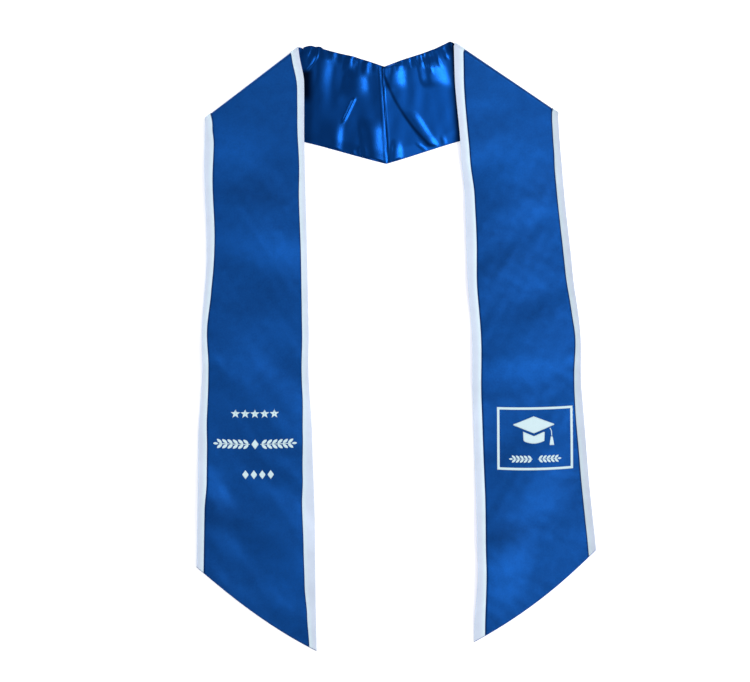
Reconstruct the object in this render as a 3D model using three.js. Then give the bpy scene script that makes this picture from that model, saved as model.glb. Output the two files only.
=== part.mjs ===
// A graduation stole, laid flat the way it is worn: two long front panels, folded over at the
// shoulders, and a V-shaped neck band behind them that shows its satin lining.
//
// Each half is one tapered band, cut on a mitre at the centre back and on a slant at the hem. It has
// a face, two white satin trims beside it and a lining under all three. Each of them is pieced at the
// shoulder, out of sight under the fold, and the trims once more below it. The band is laid out flat
// as a pattern, turned over a half cylinder along the slanting shoulder fold, and then lifted by its
// gathers, folds and swells.
//
// Millimetres, +Z up. The stole lies on the plane z = 0, with its hems towards -Y.

import * as THREE from "three";

const { degToRad, lerp, smoothstep } = THREE.MathUtils;

// The band
const shoulderLength = 160; // along the band's middle from the centre back to the shoulder fold
const dropLength = 660; // along the band's middle from the shoulder fold to the hem
const neckWidth = 115; // across the band at the centre back
const hemWidth = 150; // across the band at the middle of its hem
const trimWidth = 12;
const mitreRise = 16.2; // degrees that each half climbs from the centre back
const neckTurn = 1.1; // degrees that the whole stole lies turned, anticlockwise
const hemSlant = 35; // degrees between the hem and a square cut

// The cloth
const faceThickness = 1.2;
const trimThickness = 1.5;
const liningThickness = 1;
const seamGap = 0.3; // between two pieces that are sewn together
const foldSpace = 2.4; // between the two linings, inside the shoulder fold

// How the cloth lies
const settleLength = 48; // over which a panel comes down from the neck band to the ground
const settleMargin = 2; // past the neck band's edge, before the panel starts to come down
const gatherWidth = 9.5; // across one gather of the neck edge
const gatherRise = 3.4; // the highest gather
const foldWidth = 16; // across a lining fold of width 1
const foldRise = 5.5; // the highest lining fold
const foldFade = 9; // over which the lining folds die out at a sewn edge or beside a panel
const edgeStray = 10; // the furthest that a panel's edge strays sideways
const swellRise = 5; // the highest swell of a panel
const hemBow = 6.5; // how far the middle of each hem hangs below a straight cut
const edgePull = 8; // the furthest that a neck edge is drawn in along its shoulder fold
const neckPull = 20; // from a shoulder fold back along the neck edge, where that is drawn in
const panelPull = 45; // from a shoulder fold down the panel, where its inner edge is drawn in

// The sampling
const neckRows = 33;
const foldRows = 6;
const panelRows = 21;
const shoulderRows = 4; // of the panel's rows, down to where its trims are pieced
const faceColumns = 8;
const columnCrowding = 1.3; // above 1, the columns crowd towards the neck side

// The two halves, as they lie. shoulder, drop and pull are shares of shoulderLength, dropLength and
// edgePull, and lean is how many degrees the panel leans outwards.
const HALVES = [
  { name: "left", side: -1, shoulder: 1.022, drop: 1.008, lean: 1.1, pull: 1 },
  { name: "right", side: 1, shoulder: 0.963, drop: 0.99, lean: 2.6, pull: 0.1 },
];

// How far the two edges of each panel stray from straight, away from its middle, in shares of
// edgeStray. down is a share of the panel's drop.
const EDGES = {
  left: [
    { down: 0, inner: 0, outer: 0 },
    { down: 0.14, inner: -0.15, outer: 0.1 },
    { down: 0.35, inner: -0.1, outer: -0.45 },
    { down: 0.48, inner: -0.1, outer: -0.05 },
    { down: 0.55, inner: -0.25, outer: -0.2 },
    { down: 0.68, inner: 0.05, outer: 0.1 },
    { down: 0.83, inner: 0.15, outer: 0 },
    { down: 1, inner: 0.05, outer: -0.05 },
  ],
  right: [
    { down: 0, inner: 0, outer: 0 },
    { down: 0.15, inner: 0.05, outer: -0.2 },
    { down: 0.23, inner: -0.2, outer: -0.2 },
    { down: 0.38, inner: -0.1, outer: 0 },
    { down: 0.5, inner: -0.35, outer: 0.3 },
    { down: 0.62, inner: -0.1, outer: -0.15 },
    { down: 0.78, inner: 0, outer: -0.2 },
    { down: 0.93, inner: 0.15, outer: -0.05 },
    { down: 1.08, inner: 1, outer: -0.05 },
  ],
};

// The gathers of the neck edge, through every layer. at is a share of the neck opening's half width,
// reach is a share of the way across the band, and rise is a share of gatherRise.
const GATHERS = {
  left: [
    { at: 0.11, reach: 0.12, rise: 0.5 },
    { at: 0.21, reach: 0.2, rise: 0.8 },
    { at: 0.32, reach: 0.15, rise: 0.6 },
    { at: 0.43, reach: 0.2, rise: 1 },
    { at: 0.54, reach: 0.13, rise: 0.6 },
    { at: 0.66, reach: 0.18, rise: 0.8 },
    { at: 0.79, reach: 0.15, rise: 0.7 },
  ],
  right: [
    { at: 0.12, reach: 0.16, rise: 0.6 },
    { at: 0.22, reach: 0.13, rise: 0.6 },
    { at: 0.33, reach: 0.14, rise: 0.6 },
    { at: 0.44, reach: 0.12, rise: 0.5 },
    { at: 0.57, reach: 0.2, rise: 1 },
    { at: 0.69, reach: 0.18, rise: 0.8 },
    { at: 0.81, reach: 0.15, rise: 0.8 },
  ],
};

// The folds of the neck lining. Each runs from top to foot, in shares of the neck opening's half
// width, and from start to end, in shares of the way across the band. bow bends it sideways.
// width and rise are shares of foldWidth and foldRise.
const FOLDS = {
  left: [
    { top: 0, foot: 0, bow: 0, start: 0, end: 1, width: 0.42, rise: 0.5 },
    { top: 0.15, foot: 0.1, bow: 0, start: 0.55, end: 1, width: 0.9, rise: 0.5 },
    { top: 0.26, foot: 0.58, bow: -0.06, start: 0.08, end: 1, width: 0.75, rise: 1 },
    { top: 0.66, foot: 0.76, bow: 0, start: 0.02, end: 0.5, width: 1, rise: 0.7 },
    { top: 0.78, foot: 0.98, bow: -0.06, start: 0, end: 0.3, width: 0.45, rise: 0.7 },
    { top: 0.9, foot: 0.99, bow: 0, start: 0, end: 0.14, width: 0.4, rise: 0.5 },
  ],
  right: [
    { top: 0, foot: 0, bow: 0, start: 0, end: 1, width: 0.42, rise: 0.5 },
    { top: 0.08, foot: 0.78, bow: -0.03, start: 0.04, end: 0.98, width: 0.7, rise: 0.8 },
    { top: 0.14, foot: 0.6, bow: 0, start: 0.3, end: 0.97, width: 0.55, rise: 0.6 },
    { top: 0.21, foot: 0.22, bow: 0, start: 0, end: 0.26, width: 1.1, rise: 0.6 },
    { top: 0.19, foot: 0.19, bow: 0, start: 0.7, end: 1, width: 0.6, rise: 0.6 },
    { top: 0.68, foot: 0.8, bow: 0.02, start: 0.02, end: 0.38, width: 1.4, rise: 0.8 },
    { top: 0.9, foot: 0.97, bow: 0, start: 0, end: 0.14, width: 0.4, rise: 0.5 },
  ],
};

// The swells of each panel, where it stands clear of the ground. down is a share of the panel's drop,
// across is a share of its width from the inner edge, length and width are shares of hemWidth, turn is
// in degrees and rise is a share of swellRise.
const SWELLS = {
  left: [
    { down: 0.13, across: 0.3, length: 0.75, width: 0.4, turn: 60, rise: 0.35 },
    { down: 0.22, across: 0.75, length: 0.7, width: 0.38, turn: 65, rise: 0.8 },
    { down: 0.37, across: 0.3, length: 0.8, width: 0.4, turn: 65, rise: 0.9 },
    { down: 0.52, across: 0.85, length: 0.6, width: 0.35, turn: 80, rise: 0.7 },
    { down: 0.66, across: 0.3, length: 0.8, width: 0.45, turn: 55, rise: 0.8 },
    { down: 0.8, across: 0.95, length: 0.7, width: 0.3, turn: 15, rise: 0.6 },
    { down: 0.88, across: 0.15, length: 0.8, width: 0.4, turn: 40, rise: 1 },
  ],
  right: [
    { down: 0.1, across: 0.35, length: 0.7, width: 0.35, turn: 60, rise: 0.35 },
    { down: 0.22, across: 0.5, length: 0.9, width: 0.4, turn: 55, rise: 0.9 },
    { down: 0.38, across: 0.2, length: 0.6, width: 0.35, turn: 70, rise: 0.6 },
    { down: 0.52, across: 0.55, length: 0.9, width: 0.42, turn: 75, rise: 1 },
    { down: 0.72, across: 0.7, length: 0.7, width: 0.4, turn: 60, rise: 0.7 },
    { down: 0.82, across: 0.25, length: 0.7, width: 0.4, turn: 60, rise: 0.8 },
    { down: 0.94, across: 0.1, length: 0.6, width: 0.35, turn: 30, rise: 0.7 },
  ],
};

const MATERIALS = {
  face: new THREE.MeshStandardMaterial({ color: 0x124a96, roughness: 0.62, metalness: 0 }),
  lining: new THREE.MeshStandardMaterial({ color: 0x0b4fb0, roughness: 0.28, metalness: 0 }),
  trim: new THREE.MeshStandardMaterial({ color: 0xe4eaf6, roughness: 0.45, metalness: 0 }),
};

// The middle of the cloth is the plane between the lining and the face. A height above it is positive
// towards the face. The fold's axis lies at such a height that the lowest trim touches the ground.
const foldRadius = foldSpace / 2 + liningThickness + seamGap / 2;
const foldAxisHeight = foldRadius + seamGap / 2 + trimThickness;
const panelFall = foldAxisHeight + foldRadius - seamGap / 2 - liningThickness;

// A bump that is 1 at x = 0 and comes down smoothly to 0 at x = -1 and x = 1.
const bump = (x) => (1 - Math.min(x * x, 1)) ** 2;

// The value of a column of a table at some share down a panel, on a smooth line through its rows.
function along(rows, column, down) {
  const last = rows.length - 1;
  const next = rows.findIndex((row, i) => i > 0 && (row.down >= down || i === last));
  const [from, to] = [rows[next - 1], rows[next]];
  return lerp(from[column], to[column], smoothstep(down, from.down, to.down));
}

// One half of the stole, worked out as the right one: x points from the centre back to the shoulder.
class Band {
  constructor({ name, side, shoulder, drop, lean, pull }) {
    Object.assign(this, { name, side });
    this.shoulder = shoulder * shoulderLength;
    this.drop = drop * dropLength;
    this.pull = pull * edgePull;
    this.length = this.shoulder + this.drop;
    const rise = degToRad(mitreRise);
    const hang = degToRad(lean - 90);
    this.middle = new THREE.Vector2(0, -neckWidth / 2 / Math.cos(rise));
    this.forward = new THREE.Vector2(Math.cos(rise), Math.sin(rise));
    this.outward = new THREE.Vector2(Math.sin(rise), -Math.cos(rise));
    this.panelOutward = new THREE.Vector2(-Math.sin(hang), Math.cos(hang));
    // The fold line halves the angle between the neck band and the hanging panel.
    const foldAngle = (rise + hang) / 2;
    this.foldLine = new THREE.Vector2(Math.cos(foldAngle), Math.sin(foldAngle));
    this.pastFold = new THREE.Vector2(-Math.sin(foldAngle), Math.cos(foldAngle));
    this.foldMiddle = this.middle.clone().addScaledVector(this.forward, this.shoulder);
    this.neckCorner = this.pattern(this.rowThrough(0, -1), -1);
    this.makeRows();
  }

  width(s) {
    return lerp(neckWidth, hemWidth, s / this.length);
  }

  // A point of the flat pattern: s along the band's middle, edge from -1 (neck side) to 1.
  pattern(s, edge) {
    return this.middle
      .clone()
      .addScaledVector(this.forward, s)
      .addScaledVector(this.outward, (edge * this.width(s)) / 2);
  }

  // How far a pattern point lies past the fold line.
  beyondFold(point) {
    return point.clone().sub(this.foldMiddle).dot(this.pastFold);
  }

  // Where one edge of the pattern lies a distance past the fold line. Both are straight.
  rowThrough(distance, edge) {
    const first = this.beyondFold(this.pattern(0, edge));
    const last = this.beyondFold(this.pattern(this.length, edge));
    return (this.length * (distance - first)) / (last - first);
  }

  // Where one edge of the pattern meets the centre-back seam.
  seamEnd(edge) {
    const first = this.pattern(0, edge).x;
    const last = this.pattern(this.length, edge).x;
    return (this.length * (seamGap / 2 - first)) / (last - first);
  }

  hemEnd(edge) {
    return this.length - (edge * hemWidth * Math.tan(degToRad(hemSlant))) / 2;
  }

  // The rows of the grid run across the band, as { inner, outer }, two places along its edges. They
  // turn from the seam's angle to the fold's, keep it round the fold, and turn to the hem's. The face
  // and trims are pieced where the fold starts, the lining where it ends, and the trims once more
  // near the shoulder, all a seam's gap apart.
  makeRows() {
    const row = (place) => ({ inner: place(-1), outer: place(1) });
    const foldRow = (distance) => row((edge) => this.rowThrough(distance, edge));
    const between = (a, b, count) =>
      Array.from({ length: count }, (_, i) => ({
        inner: lerp(a.inner, b.inner, (i + 1) / count),
        outer: lerp(a.outer, b.outer, (i + 1) / count),
      }));
    const seam = row((edge) => this.seamEnd(edge));
    const hem = row((edge) => this.hemEnd(edge));
    const turned = Math.PI * foldRadius;
    const neck = [seam, ...between(seam, foldRow(0), neckRows)];
    const round = Array.from({ length: foldRows }, (_, i) => foldRow((turned * (i + 1)) / foldRows));
    const panel = between(foldRow(turned), hem, panelRows);
    const shoulder = [foldRow(seamGap), ...round, ...panel.slice(0, shoulderRows)];
    const { inner, outer } = shoulder.at(-1);
    const pieced = { inner: inner + seamGap, outer: outer + seamGap };
    const below = panel.slice(shoulderRows);
    this.faceRows = { neck, panel: [...shoulder, ...below] };
    this.trimRows = { neck, shoulder, panel: [pieced, ...below] };
    this.liningRows = { neck: [...neck, ...round], panel: [foldRow(turned + seamGap), ...panel] };
  }

  // How far down the panel a place along the band lies, in shares of the drop.
  downPanel(s) {
    return Math.max((s - this.shoulder) / this.drop, 0);
  }

  // The gathers lift every layer along the neck edge.
  gatherHeight(x, across) {
    return GATHERS[this.name].reduce((height, { at, reach, rise }) => {
      const beside = bump((2 * (x - at * this.neckCorner.x)) / gatherWidth);
      return height + gatherRise * rise * beside * bump(across / reach);
    }, 0);
  }

  // The folds lift the lining alone. They die out at the sewn edges and beside the front panel.
  foldHeight(point, across) {
    const height = FOLDS[this.name].reduce((sum, { top, foot, bow, start, end, width, rise }) => {
      const run = (across - start) / (end - start);
      if (run <= 0 || run >= 1) return sum;
      const line = lerp(top, foot, run) + bow * 4 * run * (1 - run);
      const beside = bump((2 * (point.x - line * this.neckCorner.x)) / (width * foldWidth));
      const ends = smoothstep(run, 0, 0.12) * smoothstep(1 - run, 0, 0.12);
      return sum + foldRise * rise * beside * ends;
    }, 0);
    const fromPanel = -point.clone().sub(this.neckCorner).dot(this.panelOutward);
    const fromEdge = Math.min(across, 1 - across) * neckWidth;
    const sewn = smoothstep(fromEdge, 0, foldFade / 2);
    return height * sewn * smoothstep(fromPanel, 0, foldFade);
  }

  // The swells lift every layer of the panel.
  swellHeight(s, across) {
    return SWELLS[this.name].reduce((height, { down, across: middle, length, width, turn, rise }) => {
      const x = (across - middle) * this.width(s);
      const y = s - this.shoulder - down * this.drop;
      const angle = degToRad(turn);
      const forth = (x * Math.sin(angle) + y * Math.cos(angle)) / (length * hemWidth);
      const aside = (x * Math.cos(angle) - y * Math.sin(angle)) / (width * hemWidth);
      return height + swellRise * rise * bump(Math.hypot(forth, aside));
    }, 0);
  }

  // How far the panel has come down, from 0 over the neck band to 1 on the ground.
  settled(point) {
    const edge = this.pattern(0, 1);
    const taper = Math.atan((hemWidth - neckWidth) / 2 / this.length);
    const away = this.outward.clone().rotateAround(new THREE.Vector2(), taper);
    const past = point.clone().sub(edge).dot(away);
    return smoothstep(past, settleMargin, settleMargin + settleLength);
  }

  // The place of a bit of cloth: a row, a share across from the neck side, and a height from the
  // middle plane. lined is true for the lining, which alone has folds.
  place({ inner, outer }, across, height, lined) {
    const s = lerp(inner, outer, across);
    const flat = this.pattern(inner, -1).lerp(this.pattern(outer, 1), across);
    const bow = hemBow * 4 * across * (1 - across) * this.downPanel(s) ** 2;
    flat.addScaledVector(this.forward, bow);
    const past = this.beyondFold(flat);
    const drawnIn = this.pull * bump(past / (past < 0 ? neckPull : panelPull));
    flat.addScaledVector(this.foldLine, drawnIn * (1 - across));
    const turn = THREE.MathUtils.clamp(past / foldRadius, 0, Math.PI);
    const down = this.downPanel(s);
    const stray = lerp(
      -along(EDGES[this.name], "inner", down),
      along(EDGES[this.name], "outer", down),
      across,
    );
    const alongFold = flat.clone().sub(this.foldMiddle).dot(this.foldLine);
    const radius = foldRadius + height;
    const straightBefore = Math.min(past, 0);
    const straightAfter = Math.max(past - Math.PI * foldRadius, 0);
    const plan = this.foldMiddle
      .clone()
      .addScaledVector(this.foldLine, alongFold)
      .addScaledVector(this.pastFold, straightBefore - straightAfter + radius * Math.sin(turn));
    let z = foldAxisHeight - radius * Math.cos(turn);
    if (past <= 0) {
      z += this.gatherHeight(plan.x, across);
      if (lined) z += this.foldHeight(plan, across);
    } else if (turn === Math.PI) {
      const settled = this.settled(plan);
      z += settled * (this.swellHeight(s, across) - panelFall);
      plan.addScaledVector(this.panelOutward, stray * edgeStray);
    }
    return new THREE.Vector3(plan.x * this.side, plan.y, z);
  }

  // A piece of cloth as a closed sheet: its columns are shares across the band, and it lies between
  // two heights from the middle plane.
  sheet(rows, columns, low, high, lined) {
    const [deep, wide] = [rows.length, columns.length];
    const positions = [];
    for (const height of [low, high])
      for (const row of rows)
        for (const column of columns)
          positions.push(...this.place(row, column(this, row), height, lined));
    const at = (layer, i, j) => (layer * deep + i) * wide + j;
    const triangles = [];
    const quad = (a, b, c, d) => triangles.push([a, b, c], [a, c, d]);
    for (let i = 0; i + 1 < deep; i++)
      for (let j = 0; j + 1 < wide; j++)
        for (const layer of [0, 1]) {
          const [a, b] = [at(layer, i, j), at(layer, i + 1, j)];
          const [c, d] = [at(layer, i + 1, j + 1), at(layer, i, j + 1)];
          if (layer === 1) triangles.push([a, b, c], [a, c, d]);
          else triangles.push([a, c, b], [a, d, c]);
        }
    for (let i = 0; i + 1 < deep; i++) {
      quad(at(0, i, 0), at(0, i + 1, 0), at(1, i + 1, 0), at(1, i, 0));
      quad(at(0, i + 1, wide - 1), at(0, i, wide - 1), at(1, i, wide - 1), at(1, i + 1, wide - 1));
    }
    for (let j = 0; j + 1 < wide; j++) {
      quad(at(0, 0, j + 1), at(0, 0, j), at(1, 0, j), at(1, 0, j + 1));
      quad(at(0, deep - 1, j), at(0, deep - 1, j + 1), at(1, deep - 1, j + 1), at(1, deep - 1, j));
    }
    if (this.side < 0) triangles.forEach((triangle) => triangle.reverse());
    return new THREE.BufferGeometry()
      .setAttribute("position", new THREE.Float32BufferAttribute(positions, 3))
      .setIndex(triangles.flat());
  }
}

// The share of a row's width that a length across the band takes.
const share = (band, row, length) => length / band.width((row.inner + row.outer) / 2);

// Columns that follow the seams between the face and its trims. at runs from 0 to 1 across the face,
// and clear is how far the columns keep from each seam.
const faceColumn = (at, clear) => (band, row) => {
  const edge = share(band, row, trimWidth + clear);
  return lerp(edge, 1 - edge, at);
};
const faceColumnsWith = (clear) =>
  Array.from({ length: faceColumns + 1 }, (_, j) =>
    faceColumn((j / faceColumns) ** columnCrowding, clear),
  );

// The pieces of one half: each layer of the band, one piece for each stretch of it.
function makeHalf(row) {
  const band = new Band(row);
  const [under, over] = [-seamGap / 2, seamGap / 2];
  const trimEdge = (_, at) => share(band, at, trimWidth - seamGap / 2);
  const otherEdge = (_, at) => 1 - trimEdge(_, at);
  const across = [() => 0, ...faceColumnsWith(0), () => 1];
  const face = { stretches: band.faceRows, low: over, high: over + faceThickness };
  const trim = { stretches: band.trimRows, low: over, high: over + trimThickness };
  const layers = {
    face: { ...face, columns: faceColumnsWith(seamGap / 2) },
    inner_trim: { ...trim, columns: [() => 0, trimEdge] },
    outer_trim: { ...trim, columns: [otherEdge, () => 1] },
    lining: { stretches: band.liningRows, low: under - liningThickness, high: under, columns: across },
  };
  const half = new THREE.Group();
  for (const [layer, { stretches, columns, low, high }] of Object.entries(layers))
    for (const [stretch, rows] of Object.entries(stretches)) {
      const geometry = band.sheet(rows, columns, low, high, layer === "lining");
      geometry.computeVertexNormals();
      const mesh = new THREE.Mesh(geometry, MATERIALS[layer.split("_").at(-1)]);
      mesh.name = `${row.name}_${stretch}_${layer}`;
      half.add(mesh);
    }
  return half;
}

// The whole stole, with its origin under the middle of its bounding box.
const laid = new THREE.Group();
HALVES.forEach((row) => laid.add(makeHalf(row)));
laid.rotation.z = degToRad(neckTurn);
const stole = new THREE.Group().add(laid);
const box = new THREE.Box3().setFromObject(stole, true);
const centre = box.getCenter(new THREE.Vector3());
laid.position.set(-centre.x, -centre.y, -box.min.z);

export default stole;
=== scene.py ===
"""A graduation stole, laid flat: its cloth, trims and white print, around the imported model.

Lengths are in metres. Each half of the stole is one tapered band. A band is a flat pattern that is
turned over a half cylinder along its slanting shoulder fold, and lifted by gathers, folds and
swells. So every piece of cloth is one function of two parameters: s, the length along the middle of
the band from the centre back, and across, a share of the band's width from its neck edge.
"""

from __future__ import annotations

import logging
import math
from dataclasses import dataclass, replace
from enum import Enum
from typing import Sequence

import bpy
import numpy as np
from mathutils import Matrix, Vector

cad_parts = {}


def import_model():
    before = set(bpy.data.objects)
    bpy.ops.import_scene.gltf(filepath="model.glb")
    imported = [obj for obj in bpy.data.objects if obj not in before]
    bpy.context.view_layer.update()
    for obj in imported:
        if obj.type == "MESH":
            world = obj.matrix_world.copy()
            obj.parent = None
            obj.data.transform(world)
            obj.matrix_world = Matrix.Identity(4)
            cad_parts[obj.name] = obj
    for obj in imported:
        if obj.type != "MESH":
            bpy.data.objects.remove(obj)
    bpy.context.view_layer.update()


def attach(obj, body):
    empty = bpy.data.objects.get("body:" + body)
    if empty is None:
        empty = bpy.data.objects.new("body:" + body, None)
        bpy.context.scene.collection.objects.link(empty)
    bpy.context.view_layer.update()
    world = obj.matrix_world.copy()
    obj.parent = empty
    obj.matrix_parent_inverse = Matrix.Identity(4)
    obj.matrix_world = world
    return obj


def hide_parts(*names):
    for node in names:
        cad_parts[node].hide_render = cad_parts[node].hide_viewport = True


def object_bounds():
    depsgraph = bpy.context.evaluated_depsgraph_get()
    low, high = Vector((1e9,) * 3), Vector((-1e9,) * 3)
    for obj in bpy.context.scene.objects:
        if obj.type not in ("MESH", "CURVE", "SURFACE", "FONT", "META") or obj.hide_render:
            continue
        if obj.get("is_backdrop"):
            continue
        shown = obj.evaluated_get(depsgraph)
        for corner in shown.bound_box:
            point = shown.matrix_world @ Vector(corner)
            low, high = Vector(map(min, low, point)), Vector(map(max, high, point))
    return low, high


Array = np.ndarray
LOG = logging.getLogger("stole")
MM = 0.001


def lerp(a: Array | float, b: Array | float, share: Array | float) -> Array | float:
    """Go from a to b by a share of the way."""
    return a + (b - a) * share


def smooth(x: Array | float, low: float, high: float) -> Array:
    """Rise smoothly from 0 at low to 1 at high: 3t^2 - 2t^3, t being the clipped share between."""
    share = np.clip((np.asarray(x) - low) / (high - low), 0, 1)
    return share * share * (3 - 2 * share)


def bump(x: Array | float, power: float = 2) -> Array:
    """Fall from 1 at x = 0 to 0 at x = -1 and 1: (1 - |x|^power)^2. A low power is sharper."""
    return (1 - np.minimum(np.abs(x) ** power, 1)) ** 2


def turned(x: Array, y: Array, angle: float) -> tuple[Array, Array]:
    """Turn plane coordinates anticlockwise by an angle in radians."""
    return x * math.cos(angle) - y * math.sin(angle), x * math.sin(angle) + y * math.cos(angle)


class Side(Enum):
    """The two halves, as seen from above with the neck at the top. The value is the sign of x."""

    LEFT = -1
    RIGHT = 1

    @property
    def word(self) -> str:
        """The half's name, as the names of pieces start with it."""
        return self.name.lower()


class Edge(Enum):
    """The two long edges of a band. The value is the share across the band."""

    INNER = 0
    OUTER = 1


@dataclass(frozen=True)
class Sizes:
    """The sizes that both halves share, as in the model's source.

    Attributes:
        shoulder_length: From the centre back to the shoulder fold, along the band's middle.
        drop_length: From the fold to the hem.
        neck_width: The band's width at the centre back.
        hem_width: Its width at the hem.
        trim_width: The trims' width.
        mitre_rise: How steeply the neck band rises outwards, in radians.
        neck_turn: How far the whole stole is turned, in radians.
        hem_slant: How steeply the hem slants, in radians.
        face_thickness: How thick the face is.
        trim_thickness: How thick the trims are.
        lining_thickness: How thick the lining is.
        seam_gap: The gap between two layers.
        seam_lap: How far each half laps over the centre back.
        seam_clear: How far face and trim stay off the line between them.
        lining_reach: How far the lining reaches past the face's hem.
        fold_space: The free height inside the shoulder fold.
        settle_length: Over what length a panel comes down from the neck band.
        settle_margin: How far from the neck band that starts.
        gather_width: How wide a gather is.
        gather_rise: How high it is where its table says 1.
        neck_sag: How far the neck band's lower edge sags.
        edge_stray: How far an edge strays where its table says 1.
        swell_rise: How high a swell is where its table says 1.
        hem_bow: How far the hem bows out in its middle.
        edge_pull: How far the cloth is drawn in at the fold.
        neck_pull: How far before the fold that starts.
        panel_pull: How far past the fold that ends.
        top_share: Down to what share of its drop the top of a panel strays.
        lift_power: How fast the lift of the neck edge dies out across the band.
    """

    shoulder_length: float = 160 * MM
    drop_length: float = 660 * MM
    neck_width: float = 115 * MM
    hem_width: float = 150 * MM
    trim_width: float = 12 * MM
    mitre_rise: float = math.radians(16.2)
    neck_turn: float = math.radians(1.1)
    hem_slant: float = math.radians(35)
    face_thickness: float = 1.2 * MM
    trim_thickness: float = 1.5 * MM
    lining_thickness: float = 1 * MM
    seam_gap: float = 0.3 * MM
    seam_lap: float = 0.15 * MM
    seam_clear: float = 0.05 * MM
    lining_reach: float = 0.8 * MM
    fold_space: float = 2.4 * MM
    settle_length: float = 48 * MM
    settle_margin: float = 2 * MM
    gather_width: float = 11 * MM
    gather_rise: float = 0.9 * MM
    neck_sag: float = 2 * MM
    edge_stray: float = 10 * MM
    swell_rise: float = 5 * MM
    hem_bow: float = 6.5 * MM
    edge_pull: float = 8 * MM
    neck_pull: float = 20 * MM
    panel_pull: float = 45 * MM
    top_share: float = 0.14
    lift_power: float = 6

    @property
    def fold_radius(self) -> float:
        """From the fold's axis to the middle of the cloth."""
        return self.fold_space / 2 + self.lining_thickness + self.seam_gap / 2

    @property
    def fold_axis(self) -> float:
        """The height of the fold's axis above the ground."""
        return self.fold_radius + self.seam_gap / 2 + self.trim_thickness

    @property
    def panel_fall(self) -> float:
        """How far a panel comes down from the neck band to the ground."""
        return self.fold_axis + self.fold_radius - self.seam_gap / 2 - self.lining_thickness


@dataclass(frozen=True)
class Stray:
    """How far the edges of a panel stray from straight, in shares of edge_stray."""

    down: float
    inner: float
    outer: float


@dataclass(frozen=True)
class TrimWidth:
    """How wide a trim shows, in millimetres, at a share of the panel's drop."""

    down: float
    width: float


def trim_widths(*rows: tuple[float, float]) -> tuple[TrimWidth, ...]:
    """Make a trim's table from pairs of a share of the drop and a width."""
    return tuple(TrimWidth(down, width) for down, width in rows)


@dataclass(frozen=True)
class Lift:
    """How far the neck edge of the lining stands above a straight line, in millimetres.

    at is the share of the way from the centre back to the corner beside the panel.
    """

    at: float
    rise: float


@dataclass(frozen=True)
class Gather:
    """A gather of the neck edge, in shares of the neck's half width, the band and gather_rise."""

    at: float
    reach: float
    rise: float


@dataclass(frozen=True)
class Oval:
    """An oval place on a panel, in shares of the panel and its hem, with its long axis turned.

    rise is what it adds at its middle: height for a swell, painted brightness for a painted
    highlight or shade. turn is in degrees, 90 across the panel.
    """

    down: float
    across: float
    length: float
    width: float
    turn: float
    rise: float


@dataclass(frozen=True)
class Lie:
    """How one half lies.

    Attributes:
        side: Which half it is.
        shoulder: The shoulder's length, as a share of the common size.
        drop: The panel's length, in the same way.
        lean: How far the panel leans outwards, in radians.
        pull: How much the cloth is drawn in beside the fold, as a share of the common size.
        overhang: How far the panel shades the neck lining beside it.
        top_stray: How far the top of the panel's inner edge strays towards the neck.
        trims: The widths to which each trim is turned in along the panel.
        covered: From where to where, down from the notch, the panel's shade is deep.
        nap: Painted light and shade: how bright a kind of piece is painted, where it isn't 1.
        lifts: How the neck edge of the lining runs.
        strays: How the panel's edges run.
        gathers: The gathers of the neck edge.
        swells: Where the panel stands clear of the ground.
        sheens: Painted highlights and painted shade: where the face is painted brighter or darker.
    """

    side: Side
    shoulder: float
    drop: float
    lean: float
    pull: float
    overhang: float
    top_stray: float
    trims: dict[Edge, tuple[TrimWidth, ...]]
    covered: tuple[float, float]
    nap: dict[str, float]
    lifts: tuple[Lift, ...]
    strays: tuple[Stray, ...]
    gathers: tuple[Gather, ...]
    swells: tuple[Oval, ...]
    sheens: tuple[Oval, ...]


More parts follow.
